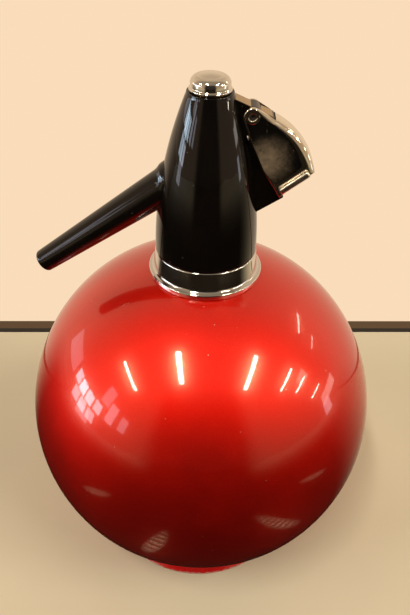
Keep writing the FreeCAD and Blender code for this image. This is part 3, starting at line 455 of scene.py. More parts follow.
class Board:
    """A node tree that is filled one node at a time, in rows."""

    per_row = 12
    step_x = 180
    step_y = 220
    result_at = (2600, 0)

    def __init__(self, tree: bpy.types.NodeTree) -> None:
        """Start with an empty tree.

        Args:
            tree: The tree.
        """
        self.tree = tree
        self.tree.nodes.clear()
        self.count = 0

    def fill(self, node: Node, inputs: dict) -> Node:
        """Give a new node its spot on the board, and its inputs.

        Args:
            node: The node.
            inputs: Values or output sockets by input name or index.

        Returns:
            The node.
        """
        row, place = divmod(self.count, self.per_row)
        node.location = (self.step_x * place, -self.step_y * row)
        self.count += 1
        for key, value in inputs.items():
            if isinstance(value, Socket):
                self.tree.links.new(value, node.inputs[key])
            else:
                node.inputs[key].default_value = value
        return node

    def add(self, kind: str, inputs: dict | None = None, **settings: object) -> Node:
        """Add a node.

        Args:
            kind: The node's type without the word ShaderNode.
            inputs: Values or output sockets by input name or index.
            **settings: Properties of the node.

        Returns:
            The node.
        """
        node = self.tree.nodes.new("ShaderNode" + kind)
        for key, value in settings.items():
            setattr(node, key, value)
        return self.fill(node, inputs or {})

    def math(self, how: str, first: object, second: object = 0.0, third: object = 0.0) -> Socket:
        """A Math node's result."""
        return self.add("Math", {0: first, 1: second, 2: third}, operation=how).outputs[0]

    def times(self, first: object, second: object) -> Socket:
        """A product."""
        return self.math("MULTIPLY", first, second)

    def vector(self, how: str, first: object, second: object) -> Socket:
        """A Vector Math node's result."""
        return self.add("VectorMath", {0: first, 1: second}, operation=how).outputs[0]

    def length(self, way: Socket) -> Socket:
        """A vector's length."""
        return self.add("VectorMath", {0: way}, operation="LENGTH").outputs["Value"]

    def parts(self, way: Socket) -> Sockets:
        """A vector's X, Y and Z."""
        return self.add("SeparateXYZ", {0: way}).outputs

    def turn(self, way: Socket, axis: Corner, angle: float) -> Socket:
        """A vector turned about an axis by an angle in radians."""
        inputs = {"Vector": way, "Axis": axis, "Angle": angle}
        return self.add("VectorRotate", inputs, rotation_type="AXIS_ANGLE").outputs[0]

    def spread(self, value: object, low: object, high: object, to_low: object = 0.0,
               to_high: object = 1.0) -> Socket:
        """A smooth Map Range's result, clamped."""
        inputs = {0: value, 1: low, 2: high, 3: to_low, 4: to_high}
        return self.add("MapRange", inputs, interpolation_type="SMOOTHSTEP").outputs[0]

    def blend(self, share: object, first: object, second: object) -> Socket:
        """A colour between two."""
        colours = [value if isinstance(value, Socket) else (*value, 1.0) for value in (first, second)]
        return self.add("Mix", {0: share, 6: colours[0], 7: colours[1]}, data_type="RGBA").outputs[2]

    def noise(self, place: object, scale: object, detail: float = 3.0, rough: float = 0.5) -> Socket:
        """A noise value of about 0 to 1."""
        inputs = {"Vector": place, "Scale": scale, "Detail": detail, "Roughness": rough}
        return self.add("TexNoise", inputs).outputs["Fac"]

    def cells(self, place: Socket, scale: object) -> Sockets:
        """What a Voronoi texture gives."""
        return self.add("TexVoronoi", {"Vector": place, "Scale": scale}).outputs

    def draws(self, colour: Socket) -> Sockets:
        """Three values of 0 to 1 from a cell's colour."""
        return self.add("SeparateColor", {0: colour}).outputs


def new_material(name: str) -> tuple[bpy.types.Material, Board, Socket]:
    """Start a material.

    Args:
        name: Its name.

    Returns:
        The material, its board, and the point on the piece.
    """
    material = bpy.data.materials.new(name)
    material.use_nodes = True
    board = Board(material.node_tree)
    return material, board, board.add("TexCoord").outputs["Object"]


class Effect(Enum):
    """The shared shader node groups."""

    HAZE = "handling_haze"
    HAIRLINES = "hairline_scratches"
    DUST = "settled_dust"
    LATHE = "lathe_lines"
    FLAKE = "lacquer_flake"
    PEEL = "spray_texture"
    BAND = "worn_band"
    PITS = "moulding_pits"


class Effects:
    """Builds each shared effect once and places it in materials."""

    def __init__(self) -> None:
        """Build all the groups, with a default for each input."""
        self.groups: dict[Effect, bpy.types.NodeTree] = {}
        self._make(Effect.HAZE, {"Scale": 60.0, "Clean": 0.05, "Hazed": 0.15}, ("Roughness",), self._haze)
        self._make(Effect.HAIRLINES, {"Scale": 150.0, "Amount": 0.3}, ("Mask",), self._hairlines)
        self._make(Effect.DUST, {"Scale": 700.0, "Amount": 0.1}, ("Mask",), self._dust)
        self._make(Effect.LATHE, {"Lines": 2500.0, "Waver": 0.4}, ("Height",), self._lathe)
        self._make(Effect.FLAKE, {"Scale": 2600.0}, ("Glint", "Height"), self._flake)
        self._make(Effect.PEEL, {"Scale": 260.0}, ("Height",), self._peel)
        self._make(Effect.BAND, {"Low": 0.0, "High": 1.0, "Fade": 0.001, "Ragged": 400.0}, ("Mask",),
                   self._band)
        self._make(Effect.PITS, {"Scale": 900.0}, ("Height",), self._pits)

    def _make(self, effect: Effect, inputs: dict[str, float], outputs: tuple[str, ...], wire: Wire) -> None:
        """Make a group.

        Args:
            effect: Which effect it is.
            inputs: Name and default of each input beside the place.
            outputs: Name of each output.
            wire: Fills the group from its inputs and gives what its outputs show.
        """
        tree = bpy.data.node_groups.new(effect.value, "ShaderNodeTree")
        tree.interface.new_socket(name="Place", in_out="INPUT", socket_type="NodeSocketVector")
        for name, default in inputs.items():
            made = tree.interface.new_socket(name=name, in_out="INPUT", socket_type="NodeSocketFloat")
            made.default_value = default
        for name in outputs:
            tree.interface.new_socket(name=name, in_out="OUTPUT", socket_type="NodeSocketFloat")
        board = Board(tree)
        given = tree.nodes.new("NodeGroupInput")
        result = tree.nodes.new("NodeGroupOutput")
        result.location = board.result_at
        for name, value in zip(outputs, wire(board, given.outputs)):
            tree.links.new(value, result.inputs[name])
        self.groups[effect] = tree

    def use(self, board: Board, effect: Effect, inputs: dict[str, object]) -> Sockets:
        """Place an effect in a material.

        Args:
            board: The material's nodes.
            effect: The effect.
            inputs: Its inputs by name.

        Returns:
            Its outputs.
        """
        node = board.tree.nodes.new("ShaderNodeGroup")
        node.node_tree = self.groups[effect]
        node.label = effect.value
        return board.fill(node, inputs).outputs

    @staticmethod
    def _haze(board: Board, given: Sockets) -> tuple[Socket, ...]:
        """Roughness that drifts between clean and handled.

        Args:
            board: The group's nodes.
            given: Its inputs.

        Returns:
            What its outputs show.
        """
        wide = board.noise(given["Place"], given["Scale"], 2.0)
        fine = board.noise(given["Place"], board.times(given["Scale"], 4.3), 4.0, 0.6)
        both = board.math("MULTIPLY_ADD", fine, 0.35, board.times(wide, 0.65))
        return (board.spread(both, 0.38, 0.66, given["Clean"], given["Hazed"]),)

    @staticmethod
    def _hairlines(board: Board, given: Sockets) -> tuple[Socket, ...]:
        """Fine scratches in three directions.

        Args:
            board: The group's nodes.
            given: Its inputs.

        Returns:
            What its outputs show.
        """
        total: object = 0.0
        for angle, shift in ((0.35, 0.0), (1.5, 3.1), (2.6, 7.7)):
            spun = board.turn(given["Place"], (0.4, 0.5, 0.8), angle)
            line = board.noise(board.vector("MULTIPLY", spun, (1.0, 26.0, 26.0)), given["Scale"], 1.0)
            moved = board.vector("ADD", spun, (shift, 0.0, 0.0))
            gate = board.spread(board.noise(moved, given["Scale"], 1.0), 0.5, 0.62)
            total = board.math("MAXIMUM", total, board.times(board.spread(line, 0.70, 0.74), gate))
        return (board.times(total, given["Amount"]),)

    @staticmethod
    def _dust(board: Board, given: Sockets) -> tuple[Socket, ...]:
        """Small specks scattered over the surface, thicker in drifts.

        Args:
            board: The group's nodes.
            given: Its inputs.

        Returns:
            What its outputs show.
        """
        cell = board.cells(given["Place"], given["Scale"])
        speck = board.spread(cell["Distance"], 0.16, 0.07)
        drift = board.noise(given["Place"], board.times(given["Scale"], 0.05), 2.0)
        level = board.times(given["Amount"], board.spread(drift, 0.35, 0.75, 0.3, 1.6))
        here = board.math("LESS_THAN", board.draws(cell["Color"])[0], level)
        return (board.times(speck, here),)

    @staticmethod
    def _lathe(board: Board, given: Sockets) -> tuple[Socket, ...]:
        """Rings left by a turning tool, about the Z axis of the place.

        Args:
            board: The group's nodes.
            given: Its inputs.

        Returns:
            What its outputs show.
        """
        parts = board.parts(given["Place"])
        radius = board.length(board.add("CombineXYZ", {0: parts[0], 1: parts[1]}).outputs[0])
        along = board.math("ADD", radius, parts[2])
        sway = board.times(board.noise(given["Place"], 90.0, 2.0), given["Waver"])
        phase = board.math("MULTIPLY_ADD", along, given["Lines"], sway)
        wave = board.math("SINE", board.times(phase, math.tau))
        grain = board.noise(board.add("CombineXYZ", {0: phase}).outputs[0], 1.7, 3.0, 0.7)
        return (board.math("MULTIPLY_ADD", wave, 0.3, grain),)

    @staticmethod
    def _flake(board: Board, given: Sockets) -> tuple[Socket, ...]:
        """Metal flakes under a lacquer."""
        draws = board.draws(board.cells(given["Place"], given["Scale"])["Color"])
        return board.spread(draws[0], 0.55, 1.0), draws[1]

    @staticmethod
    def _peel(board: Board, given: Sockets) -> tuple[Socket, ...]:
        """The soft unevenness of a sprayed coat.

        Args:
            board: The group's nodes.
            given: Its inputs.

        Returns:
            What its outputs show.
        """
        soft = board.noise(given["Place"], given["Scale"], 1.0)
        wide = board.noise(given["Place"], board.times(given["Scale"], 0.12), 2.0)
        return (board.math("MULTIPLY_ADD", wide, 2.0, soft),)

    @staticmethod
    def _band(board: Board, given: Sockets) -> tuple[Socket, ...]:
        """A broken band between two heights, for wear along a rim.

        Args:
            board: The group's nodes.
            given: Its inputs.

        Returns:
            What its outputs show.
        """
        height = board.parts(given["Place"])[2]
        rise = board.spread(height, given["Low"], board.math("ADD", given["Low"], given["Fade"]))
        fall = board.spread(height, given["High"], board.math("SUBTRACT", given["High"], given["Fade"]))
        patch = board.spread(board.noise(given["Place"], given["Ragged"], 4.0, 0.65), 0.45, 0.62)
        return (board.times(board.times(rise, fall), patch),)

    @staticmethod
    def _pits(board: Board, given: Sockets) -> tuple[Socket, ...]:
        """Tiny sink marks and grain of a moulding or a seal.

        Args:
            board: The group's nodes.
            given: Its inputs.

        Returns:
            What its outputs show.
        """
        grain = board.noise(given["Place"], given["Scale"], 4.0, 0.6)
        cell = board.cells(given["Place"], board.times(given["Scale"], 0.6))
        return (board.math("MULTIPLY_ADD", board.spread(cell["Distance"], 0.12, 0.28), 0.3, grain),)


# ------------------------------------------------------------------ finishes


@dataclass
class Work:
    """A material that is being wired.

    Attributes:
        board: Its nodes.
        effects: The shared effects.
        place: The point on the piece.
        shader: Its shader.
        result: Its output node.
    """

    board: Board
    effects: Effects
    place: Socket
    shader: Node
    result: Node

    def use(self, effect: Effect, **inputs: object) -> Sockets:
        """Place an effect; its inputs are named in lower case."""
        named = {name.title(): value for name, value in inputs.items()}
        return self.effects.use(self.board, effect, {"Place": self.place, **named})

    def feed(self, socket: str, value: Socket) -> None:
        """Link a value to one of the shader's sockets."""
        self.board.tree.links.new(value, self.shader.inputs[socket])

    def noise(self, scale: float, detail: float, rough: float = 0.5) -> Socket:
        """A noise value on the piece."""
        return self.board.noise(self.place, scale, detail, rough)

    def tint(self, body: object, colour: Colour, mask: Socket, share: float) -> Socket:
        """A body colour with some share of another where a mask is."""
        return self.board.blend(self.board.times(mask, share), body, colour)

    def dust(self, body: object, colour: Colour, scale: float, amount: float,
             share: float) -> tuple[Socket, Socket]:
        """Strew specks over a body colour.

        Args:
            body: The body colour.
            colour: The specks' colour.
            scale: How fine they lie.
            amount: How many there are.
            share: How much of their colour shows.

        Returns:
            The body colour with the specks, and their mask.
        """
        mask = self.use(Effect.DUST, scale=scale, amount=amount)["Mask"]
        return self.tint(body, colour, mask, share), mask

    def bump(self, height: Socket, depth: float, strength: float) -> Socket:
        """Bump the shader's normal.

        Args:
            height: The height to bump by.
            depth: How deep that goes, in metres.
            strength: How much of it shows.

        Returns:
            The bumped normal.
        """
        inputs = {"Height": height, "Distance": depth, "Strength": strength}
        normal = self.board.add("Bump", inputs).outputs[0]
        self.feed("Normal", normal)
        return normal


@dataclass(frozen=True)
class Finish:
    """A surface finish; its wire method fills the shader.

    Attributes:
        name: The material's name.
        base: Its colour.
        metallic: 1 for metal.
        smooth: Roughness where clean.
        hazed: Roughness where handled.
        coat: Weight of a clear coat.
        coat_rough: The coat's roughness.
    """

    name: str
    base: Colour
    metallic: float = 0.0
    smooth: float = 0.1
    hazed: float = 0.2
    coat: float = 0.0
    coat_rough: float = 0.03

    def make(self, effects: Effects) -> bpy.types.Material:
        """Build the material.

        Args:
            effects: The shared effects.

        Returns:
            The material.
        """
        material, board, place = new_material(self.name)
        shader = board.add("BsdfPrincipled", {"Base Color": (*self.base, 1.0), "Metallic": self.metallic,
                                              "Roughness": self.smooth, "Coat Weight": self.coat,
                                              "Coat Roughness": self.coat_rough})
        result = board.add("OutputMaterial", {"Surface": shader.outputs[0]})
        result.location = board.result_at
        self.wire(Work(board, effects, place, shader, result))
        return material

    def wire(self, work: Work) -> None:
        """Fill the shader's sockets; each finish does it its own way."""
        raise NotImplementedError

    def haze(self, work: Work, scale: float) -> Socket:
        """Roughness between clean and handled."""
        return work.use(Effect.HAZE, scale=scale, clean=self.smooth, hazed=self.hazed)["Roughness"]

    def times(self, red: float, green: float, blue: float) -> Colour:
        """The base colour with each channel multiplied."""
        return self.base[0] * red, self.base[1] * green, self.base[2] * blue


@dataclass(frozen=True)
class CandyLacquer(Finish):
    """Transparent red over metal flake, under a clear gloss coat.

    Attributes:
        deep: Colour where the film is thick or seen aslant.
        glint: Colour of the brightest flakes.
        bloom: Colour of the glow round a reflection.
        bloom_share: How much of the light is in that glow.
        bloom_rough: Its roughness, as a share of the flake's.
    """

    deep: Colour = (0.40, 0.0016, 0.0010)
    glint: Colour = (1.0, 0.045, 0.012)
    bloom: Colour = (1.0, 0.58, 0.34)
    bloom_share: float = 0.05
    bloom_rough: float = 0.37

    def wire(self, work: Work) -> None:
        """Flake, uneven film thickness, dust, hairlines and the glow.

        Args:
            work: The material.
        """
        board = work.board
        flake = work.use(Effect.FLAKE, scale=3600.0)
        film = board.spread(work.noise(22.0, 3.0), 0.3, 0.7, 0.0, 0.16)
        aslant = board.add("LayerWeight", {"Blend": 0.32}).outputs["Facing"]
        body = work.tint(board.blend(film, self.base, self.deep), self.deep, aslant, 0.45)
        body = work.tint(body, self.glint, flake["Glint"], 0.16)
        body, dust = work.dust(body, (0.62, 0.50, 0.42), 520.0, 0.035, 0.5)
        work.feed("Base Color", body)
        haze = self.haze(work, 35.0)
        work.feed("Roughness", haze)
        lines = work.use(Effect.HAIRLINES, scale=90.0, amount=0.35)["Mask"]
        coat = board.math("SUBTRACT", 1.0, board.times(board.math("MAXIMUM", lines, dust), 0.6))
        work.feed("Coat Weight", board.times(coat, self.coat))
        normal = work.bump(flake["Height"], 0.000006, 0.35)
        rough = board.times(haze, self.bloom_rough)
        bloom = board.add("BsdfPrincipled", {"Base Color": (*self.bloom, 1.0), "Metallic": 1.0,
                                             "Roughness": rough, "Normal": normal})
        both = board.add("MixShader", {0: self.bloom_share, 1: work.shader.outputs[0], 2: bloom.outputs[0]})
        board.tree.links.new(both.outputs[0], work.result.inputs["Surface"])


@dataclass(frozen=True)
class RedEnamel(Finish):
    """Solid red enamel on the foot, scuffed along its rim."""

    primer: Colour = (0.42, 0.34, 0.30)

    def wire(self, work: Work) -> None:
        """Tone drift, a rubbed rim, spray texture and dust.

        Args:
            work: The material.
        """
        board = work.board
        drift = board.spread(work.noise(40.0, 4.0), 0.3, 0.7, 0.0, 0.4)
        body = board.blend(drift, self.base, self.times(0.55, 0.4, 0.4))
        rub = work.use(Effect.BAND, low=0.0003, high=0.0016, fade=0.0004, ragged=500.0)["Mask"]
        body, _ = work.dust(work.tint(body, self.primer, rub, 0.7), (0.6, 0.5, 0.42), 650.0, 0.10, 0.5)
        work.feed("Base Color", body)
        work.feed("Roughness", board.math("ADD", self.haze(work, 80.0), board.times(rub, 0.3)))
        work.feed("Coat Weight", board.math("SUBTRACT", self.coat, board.times(rub, 0.8)))
        work.bump(work.use(Effect.PEEL, scale=500.0)["Height"], 0.00002, 0.5)


@dataclass(frozen=True)
class BrightChrome(Finish):
    """Chrome plate with fingermarks, hairlines and faint pitting."""

    pit: Colour = (0.20, 0.16, 0.12)
    marks: float = 45.0

    def wire(self, work: Work) -> None:
        """Roughness from handling and lines, darker pits.

        Args:
            work: The material.
        """
        board = work.board
        lines = work.use(Effect.HAIRLINES, scale=160.0, amount=0.5)["Mask"]
        work.feed("Roughness", board.math("MULTIPLY_ADD", lines, 0.12, self.haze(work, self.marks)))
        tone = board.spread(work.noise(120.0, 4.0), 0.35, 0.7, 0.0, 0.16)
        body = board.blend(tone, self.base, self.times(0.72, 0.72, 0.72))
        body, _ = work.dust(body, self.pit, 1500.0, 0.05, 0.8)
        work.feed("Base Color", body)
        work.bump(work.use(Effect.PEEL, scale=380.0)["Height"], 0.000010, 0.35)


@dataclass(frozen=True)
class BlackMoulding(Finish):
    """Polished black moulding with faint swirl marks and dust."""

    dusty: Colour = (0.30, 0.27, 0.24)
    grime: float = 0.05

    def wire(self, work: Work) -> None:
        """Black with a brown drift, dust specks, hairlines and moulding texture.

        Args:
            work: The material.
        """
        board = work.board
        drift = board.spread(work.noise(55.0, 3.0), 0.3, 0.75)
        body = board.blend(drift, self.base, self.times(2.2, 1.8, 1.5))
        body, dust = work.dust(body, self.dusty, 900.0, self.grime, 0.45)
        work.feed("Base Color", body)
        lines = work.use(Effect.HAIRLINES, scale=130.0, amount=0.6)["Mask"]
        rough = board.math("MULTIPLY_ADD", lines, 0.10, self.haze(work, 70.0))
        work.feed("Roughness", board.math("MULTIPLY_ADD", dust, 0.3, rough))
        work.bump(work.use(Effect.PEEL, scale=300.0)["Height"], 0.000016, 0.4)


@dataclass(frozen=True)
class HandledInlayWithPaintedReflection(Finish):
    """Black plate dulled by the hand, with a painted reflection low on it: a smoky brown-grey patch in its
    colour, rougher there too.

    Attributes:
        painted_reflection: Colour of the painted reflection, a smoky brown-grey.
        patch: Its middle, in metres; it goes through both plates.
        reach: Its radius.
        fade: How far it fades out beyond that.
        ragged: How far its edge wanders.
    """

    painted_reflection: Colour = (0.21, 0.165, 0.115)
    patch: Corner = (0.0188, 0.0, 0.1846)
    reach: float = 0.0092
    fade: float = 0.004
    ragged: float = 0.006

    def wire(self, work: Work) -> None:
        """A painted reflection: a soft brown-grey patch round a place on the plate, over black, where the
        plate is also rougher.

        Args:
            work: The material.
        """
        board = work.board
        moved = board.vector("SUBTRACT", work.place, self.patch)
        away = board.length(board.vector("MULTIPLY", moved, (1.0, 0.0, 1.0)))
        edge = board.math("MULTIPLY_ADD", work.noise(160.0, 4.0, 0.6), self.ragged, away)
        # Painted reflection: the colour turns brown-grey round one fixed place on both plates.
        reflection_spot = board.spread(edge, self.reach + self.fade, self.reach * 0.4)
        cloud = board.spread(work.noise(420.0, 4.0, 0.65), 0.25, 0.75, 0.45, 1.0)
        share = board.times(reflection_spot, cloud)
        body, _ = work.dust(board.blend(share, self.base, self.painted_reflection), (0.42, 0.36, 0.28), 1100.0, 0.10, 0.45)
        work.feed("Base Color", body)
        work.feed("Roughness", board.math("MULTIPLY_ADD", share, 0.28, self.haze(work, 140.0)))
        work.bump(work.use(Effect.PITS, scale=700.0)["Height"], 0.00002, 0.5)


@dataclass(frozen=True)
class TurnedMetal(Finish):
    """Brass or steel with lathe lines and tarnish, about an axis of its own."""

    tarnish: Colour = (0.25, 0.15, 0.06)
    centre: Corner = (0.0, 0.0, 0.0)
    turn: float = 0.0
    lines: float = 2200.0

    def wire(self, work: Work) -> None:
        """Rings about the piece's axis, with stains in the hollows.

        Args:
            work: The material.
        """
        board = work.board
        moved = board.vector("SUBTRACT", work.place, self.centre)
        own = board.turn(moved, (0.0, 1.0, 0.0), math.radians(-self.turn))
        stain = board.spread(work.noise(260.0, 5.0, 0.65), 0.42, 0.72)
        work.feed("Base Color", work.tint(self.base, self.tarnish, stain, 0.55))
        work.feed("Roughness", board.math("MULTIPLY_ADD", stain, 0.12, self.haze(work, 200.0)))
        rings = work.effects.use(board, Effect.LATHE, {"Place": own, "Lines": self.lines, "Waver": 0.2})
        work.bump(rings["Height"], 0.00002, 0.5)


@dataclass(frozen=True)
class Rubber(Finish):
    """Rubber of a seal, a pad or a liner, with bloom and grain."""

    bloom: Colour = (0.20, 0.19, 0.18)

    def wire(self, work: Work) -> None:
        """Matt grain with a dry bloom.

        Args:
            work: The material.
        """
        board = work.board
        dry = board.spread(work.noise(180.0, 5.0, 0.6), 0.4, 0.75, 0.0, 0.6)
        body, _ = work.dust(board.blend(dry, self.base, self.bloom), (0.5, 0.46, 0.4), 1300.0, 0.16, 0.5)
        work.feed("Base Color", body)
        work.feed("Roughness", self.haze(work, 220.0))
        work.bump(work.use(Effect.PITS, scale=1500.0)["Height"], 0.00004, 0.6)


@dataclass(frozen=True)
class ClearedPlastic(Finish):
    """Milky tube plastic, yellowed and scaled by the water towards its end."""

    scale: Colour = (0.78, 0.72, 0.58)
    water_line: float = 0.100

    def wire(self, work: Work) -> None:
        """Fresh above the water line, stained and gritty below.

        Args:
            work: The material.
        """
        board = work.board
        ragged = board.math("MULTIPLY_ADD", work.noise(300.0, 4.0), 0.01, board.parts(work.place)[2])
        below = board.spread(ragged, self.water_line + 0.012, self.water_line - 0.02)
        crust = board.spread(work.noise(700.0, 5.0, 0.7), 0.45, 0.65)
        share = board.times(below, board.math("MULTIPLY_ADD", crust, 0.6, 0.3))
        work.feed("Base Color", board.blend(share, self.base, self.scale))
        work.feed("Roughness", board.math("MULTIPLY_ADD", share, 0.25, self.haze(work, 150.0)))
        work.bump(crust, 0.00003, 0.4)


class Finishes:
    """Every finish of the siphon, built once."""

    def __init__(self, effects: Effects, sizes: "Head") -> None:
        """Build the materials.

        Args:
            effects: The shared effects.
            sizes: The head's sizes, for the axes that turned pieces follow.
        """
        brass: Colour = (0.72, 0.50, 0.22)
        steel: Colour = (0.60, 0.60, 0.61)
        valve_at = (0.0, 0.0, (HEAD_Z + sizes.valve_height) * MM)
        spout_at = (0.0, 0.0, (HEAD_Z + sizes.spout_height) * MM)
        valve_turn, spout_turn = 90.0 - sizes.valve_rise, -90.0 - sizes.spout_fall
        metal = {"metallic": 1.0, "smooth": 0.22, "hazed": 0.38}
        fine = {"metallic": 1.0, "smooth": 0.18, "hazed": 0.32, "tarnish": (0.30, 0.28, 0.25)}
        wanted = (
            CandyLacquer("ball_lacquer", (0.80, 0.0080, 0.0026), 1.0, 0.53, 0.58, 1.0, 0.04),
            RedEnamel("foot_enamel", (0.55, 0.006, 0.005), 0.15, 0.22, 0.34, 0.9, 0.04),
            BrightChrome("collar_chrome", (0.78, 0.76, 0.73), 1.0, 0.05, 0.13),
            BrightChrome("cap_chrome", (0.80, 0.76, 0.68), 1.0, 0.06, 0.16, marks=160.0),
            BrightChrome("lever_chrome", (0.88, 0.81, 0.68), 1.0, 0.07, 0.20, marks=90.0),
            BrightChrome("strip_gilt", (0.50, 0.37, 0.22), 1.0, 0.24, 0.34, marks=90.0),
            BrightChrome("lip_satin", (0.86, 0.78, 0.64), 1.0, 0.26, 0.36, marks=90.0),
            BlackMoulding("tower_black", (0.0022, 0.0018, 0.0015), 0.0, 0.03, 0.07, grime=0.02),
            BlackMoulding("spout_black", (0.0022, 0.0018, 0.0015), 0.0, 0.05, 0.11, grime=0.04),
            HandledInlayWithPaintedReflection("inlay_black", (0.0032, 0.0030, 0.0028), 0.0, 0.14, 0.26),
            TurnedMetal("brass_turned", brass, **metal),
            TurnedMetal("brass_valve", brass, centre=valve_at, turn=valve_turn, **metal),
            TurnedMetal("steel_turned", steel, lines=3200.0, **fine),
            TurnedMetal("steel_valve", steel, centre=valve_at, turn=valve_turn, lines=3200.0, **fine),
            TurnedMetal("steel_spout", steel, centre=spout_at, turn=spout_turn, lines=2600.0, **fine),
            TurnedMetal("pin_darkened", (0.06, 0.055, 0.05), metallic=1.0, smooth=0.35, hazed=0.5,
                        tarnish=(0.02, 0.015, 0.012), lines=3200.0),
            TurnedMetal("foil_bright", (0.80, 0.80, 0.81), metallic=1.0, smooth=0.2, hazed=0.4,
                        tarnish=(0.45, 0.43, 0.40), lines=5000.0),
            Rubber("pad_rubber", (0.022, 0.021, 0.020), 0.0, 0.55, 0.78),
            Rubber("seal_rubber", (0.30, 0.075, 0.045), 0.0, 0.45, 0.65, bloom=(0.45, 0.24, 0.18)),
            Rubber("liner_rubber", (0.030, 0.028, 0.026), 0.0, 0.5, 0.7),
            ClearedPlastic("tube_plastic_milky", (0.82, 0.82, 0.76), 0.0, 0.25, 0.40),
        )
        self.made = {finish.name: finish.make(effects) for finish in wanted}

    def __getitem__(self, name: str) -> bpy.types.Material:
        """The material of that name."""
        return self.made[name]


# ------------------------------------------------------------------ sub-assemblies


@dataclass
class Assembly:
    """What the sub-assemblies share."""

    finishes: Finishes | None = field(default=None, repr=False)

    def take(self, piece: Piece, body: Body, slot: Slot, finish: str, *nodes: str) -> None:
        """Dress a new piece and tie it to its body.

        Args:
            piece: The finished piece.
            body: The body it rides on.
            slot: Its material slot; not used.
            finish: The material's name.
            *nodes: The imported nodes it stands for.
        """
        piece.data.materials.clear()
        piece.data.materials.append(self.finishes[finish])
        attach(piece, body.value)
        if nodes:
            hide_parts(*nodes)
        LOG.info("%s on %s: %d faces", piece.name, body.value, len(piece.data.polygons))

    def keep(self, finish: str, *nodes: str) -> None:
        """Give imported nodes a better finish.

        Args:
            finish: The material's name.
            *nodes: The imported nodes.
        """
        for node in nodes:
            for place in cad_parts[node].material_slots:
                place.material = self.finishes[finish]
            LOG.info("%s dressed in %s", node, finish)


@dataclass
class Vessel(Assembly):
    """The ball, its neck ring, and the foot under it."""

    ball_r: float = BALL_R
    wall: float = 1.6
    ball_z: float = 72.0
    land_r: float = LAND_R
    land_rise: float = LAND_RISE
    land_depth: float = 2.2
    mouth_r: float = 14.0
    foot_r: float = 42.0
    waist_r: float = 38.0
    flare_r: float = 20.0
    foot_wall: float = 1.8
    rim_t: float = 1.5
    rim_in_r: float = 34.5
    pad_in_r: float = 36.0
    pad_out_r: float = 40.4
    pad_t: float = 1.1
    pad_proud: float = 0.4
    foot_gap: float = 0.05
    foot_edge: float = 0.8
    foot_edge_walls: float = 1.4
    neck_bore: float = 12.4
    neck_lip_r: float = 15.4
    neck_lip_t: float = 1.2
    neck_flange_r: float = 16.8
    neck_flange_t: float = 1.0
    neck_rise: float = 4.5
    thread_r: float = 15.0
    thread_pitch: float = 1.25
    thread_depth: float = 0.35
    thread_start: float = 0.25
    thread_stop: float = 0.1
    thread_soft: float = 0.08

    def build(self) -> None:
        """Model and dress the vessel."""
        self.ball()
        self.foot()
        self.neck()
        self.keep("pad_rubber", "foot_pad")

    def ball(self) -> None:
        """The lacquered ball, with its raised land and its inside."""
        rim = math.degrees(math.acos(self.land_r / self.ball_r))
        top = self.ball_z + math.sqrt(self.ball_r**2 - self.land_r**2) + self.land_rise
        under = top - self.land_depth
        inner = self.ball_r - self.wall
        inside_rim = math.degrees(math.asin((under - self.ball_z) / inner))
        path = arc((0.0, self.ball_z), self.ball_r, -90.0, rim, 118)
        path += rounded([(*path[-1], 0.0), (self.land_r, top, 0.3), (self.mouth_r, top, 0.3),
                         (self.mouth_r, under, 0.0)], closed=False)[1:]
        path += arc((0.0, self.ball_z), inner, inside_rim, -90.0, 70)
        path[0] = (0.0, self.ball_z - self.ball_r)
        path[-1] = (0.0, self.ball_z - inner)
        ball = Bench.turned("ball", path, closed=False, around=AROUND_SEEN)
        self.take(ball, Body.VESSEL, Slot.VESSEL_RED, "ball_lacquer", "vessel_shell")

    def foot(self) -> None:
        """The flared foot, with its groove for the pad."""
        reach = self.ball_r + self.foot_gap
        outer_top = self.ball_z - math.sqrt(reach**2 - self.waist_r**2)
        inner_r = self.waist_r - self.foot_wall
        inner_top = self.ball_z - math.sqrt(reach**2 - inner_r**2)
        waist = (self.waist_r, outer_top)
        edge = (self.foot_r, self.pad_proud + self.foot_edge)
        flare = bow(edge, waist, self.flare_r, -1, 14)
        rim_top = self.pad_proud + self.rim_t
        foot_in = (self.foot_r - self.foot_wall * self.foot_edge_walls, rim_top)
        under = bow((inner_r, inner_top), foot_in, self.flare_r + self.foot_wall, 1, 12)
        path = rounded([(self.rim_in_r, self.pad_proud, 0.0), (self.pad_in_r, self.pad_proud, 0.0),
                        (self.pad_in_r, self.pad_t, 0.0), (self.pad_out_r, self.pad_t, 0.0),
                        (self.pad_out_r, self.pad_proud, 0.2), (self.foot_r, self.pad_proud, 0.5),
                        (*edge, 0.0)], closed=False)
        path += flare + [waist, (inner_r, inner_top)] + under + [foot_in, (self.rim_in_r, rim_top)]
        foot = Bench.turned("foot", path)
        self.take(foot, Body.VESSEL, Slot.FOOT_RED, "foot_enamel", "foot_ring")

    def neck(self) -> None:
        """The brass neck ring, with its thread cut as fine ridges."""
        lip_top = HEAD_Z - self.land_depth
        lip_foot = lip_top - self.neck_lip_t
        flange_top, top = HEAD_Z + self.neck_flange_t, HEAD_Z + self.neck_rise
        groove_r = self.thread_r - self.thread_depth
        corners: list[Corner] = [
            (self.neck_bore, lip_foot, 0.2), (self.neck_lip_r, lip_foot, 0.3),
            (self.neck_lip_r, lip_top, 0.1), (self.mouth_r, lip_top, 0.0), (self.mouth_r, HEAD_Z, 0.0),
            (self.neck_flange_r, HEAD_Z, 0.1), (self.neck_flange_r, flange_top, 0.25),
            (groove_r, flange_top, 0.0)]
        corners += thread(self.thread_r, self.thread_depth, flange_top + self.thread_start,
                          top - self.thread_stop, self.thread_pitch, self.thread_soft)
        corners += [(groove_r, top, 0.15), (self.neck_bore, top, 0.2)]
        neck = Bench.turned("neck_thread", rounded(corners, closed=True, steps=2))
        self.take(neck, Body.VESSEL, Slot.BRASS, "brass_turned", "neck_ring")


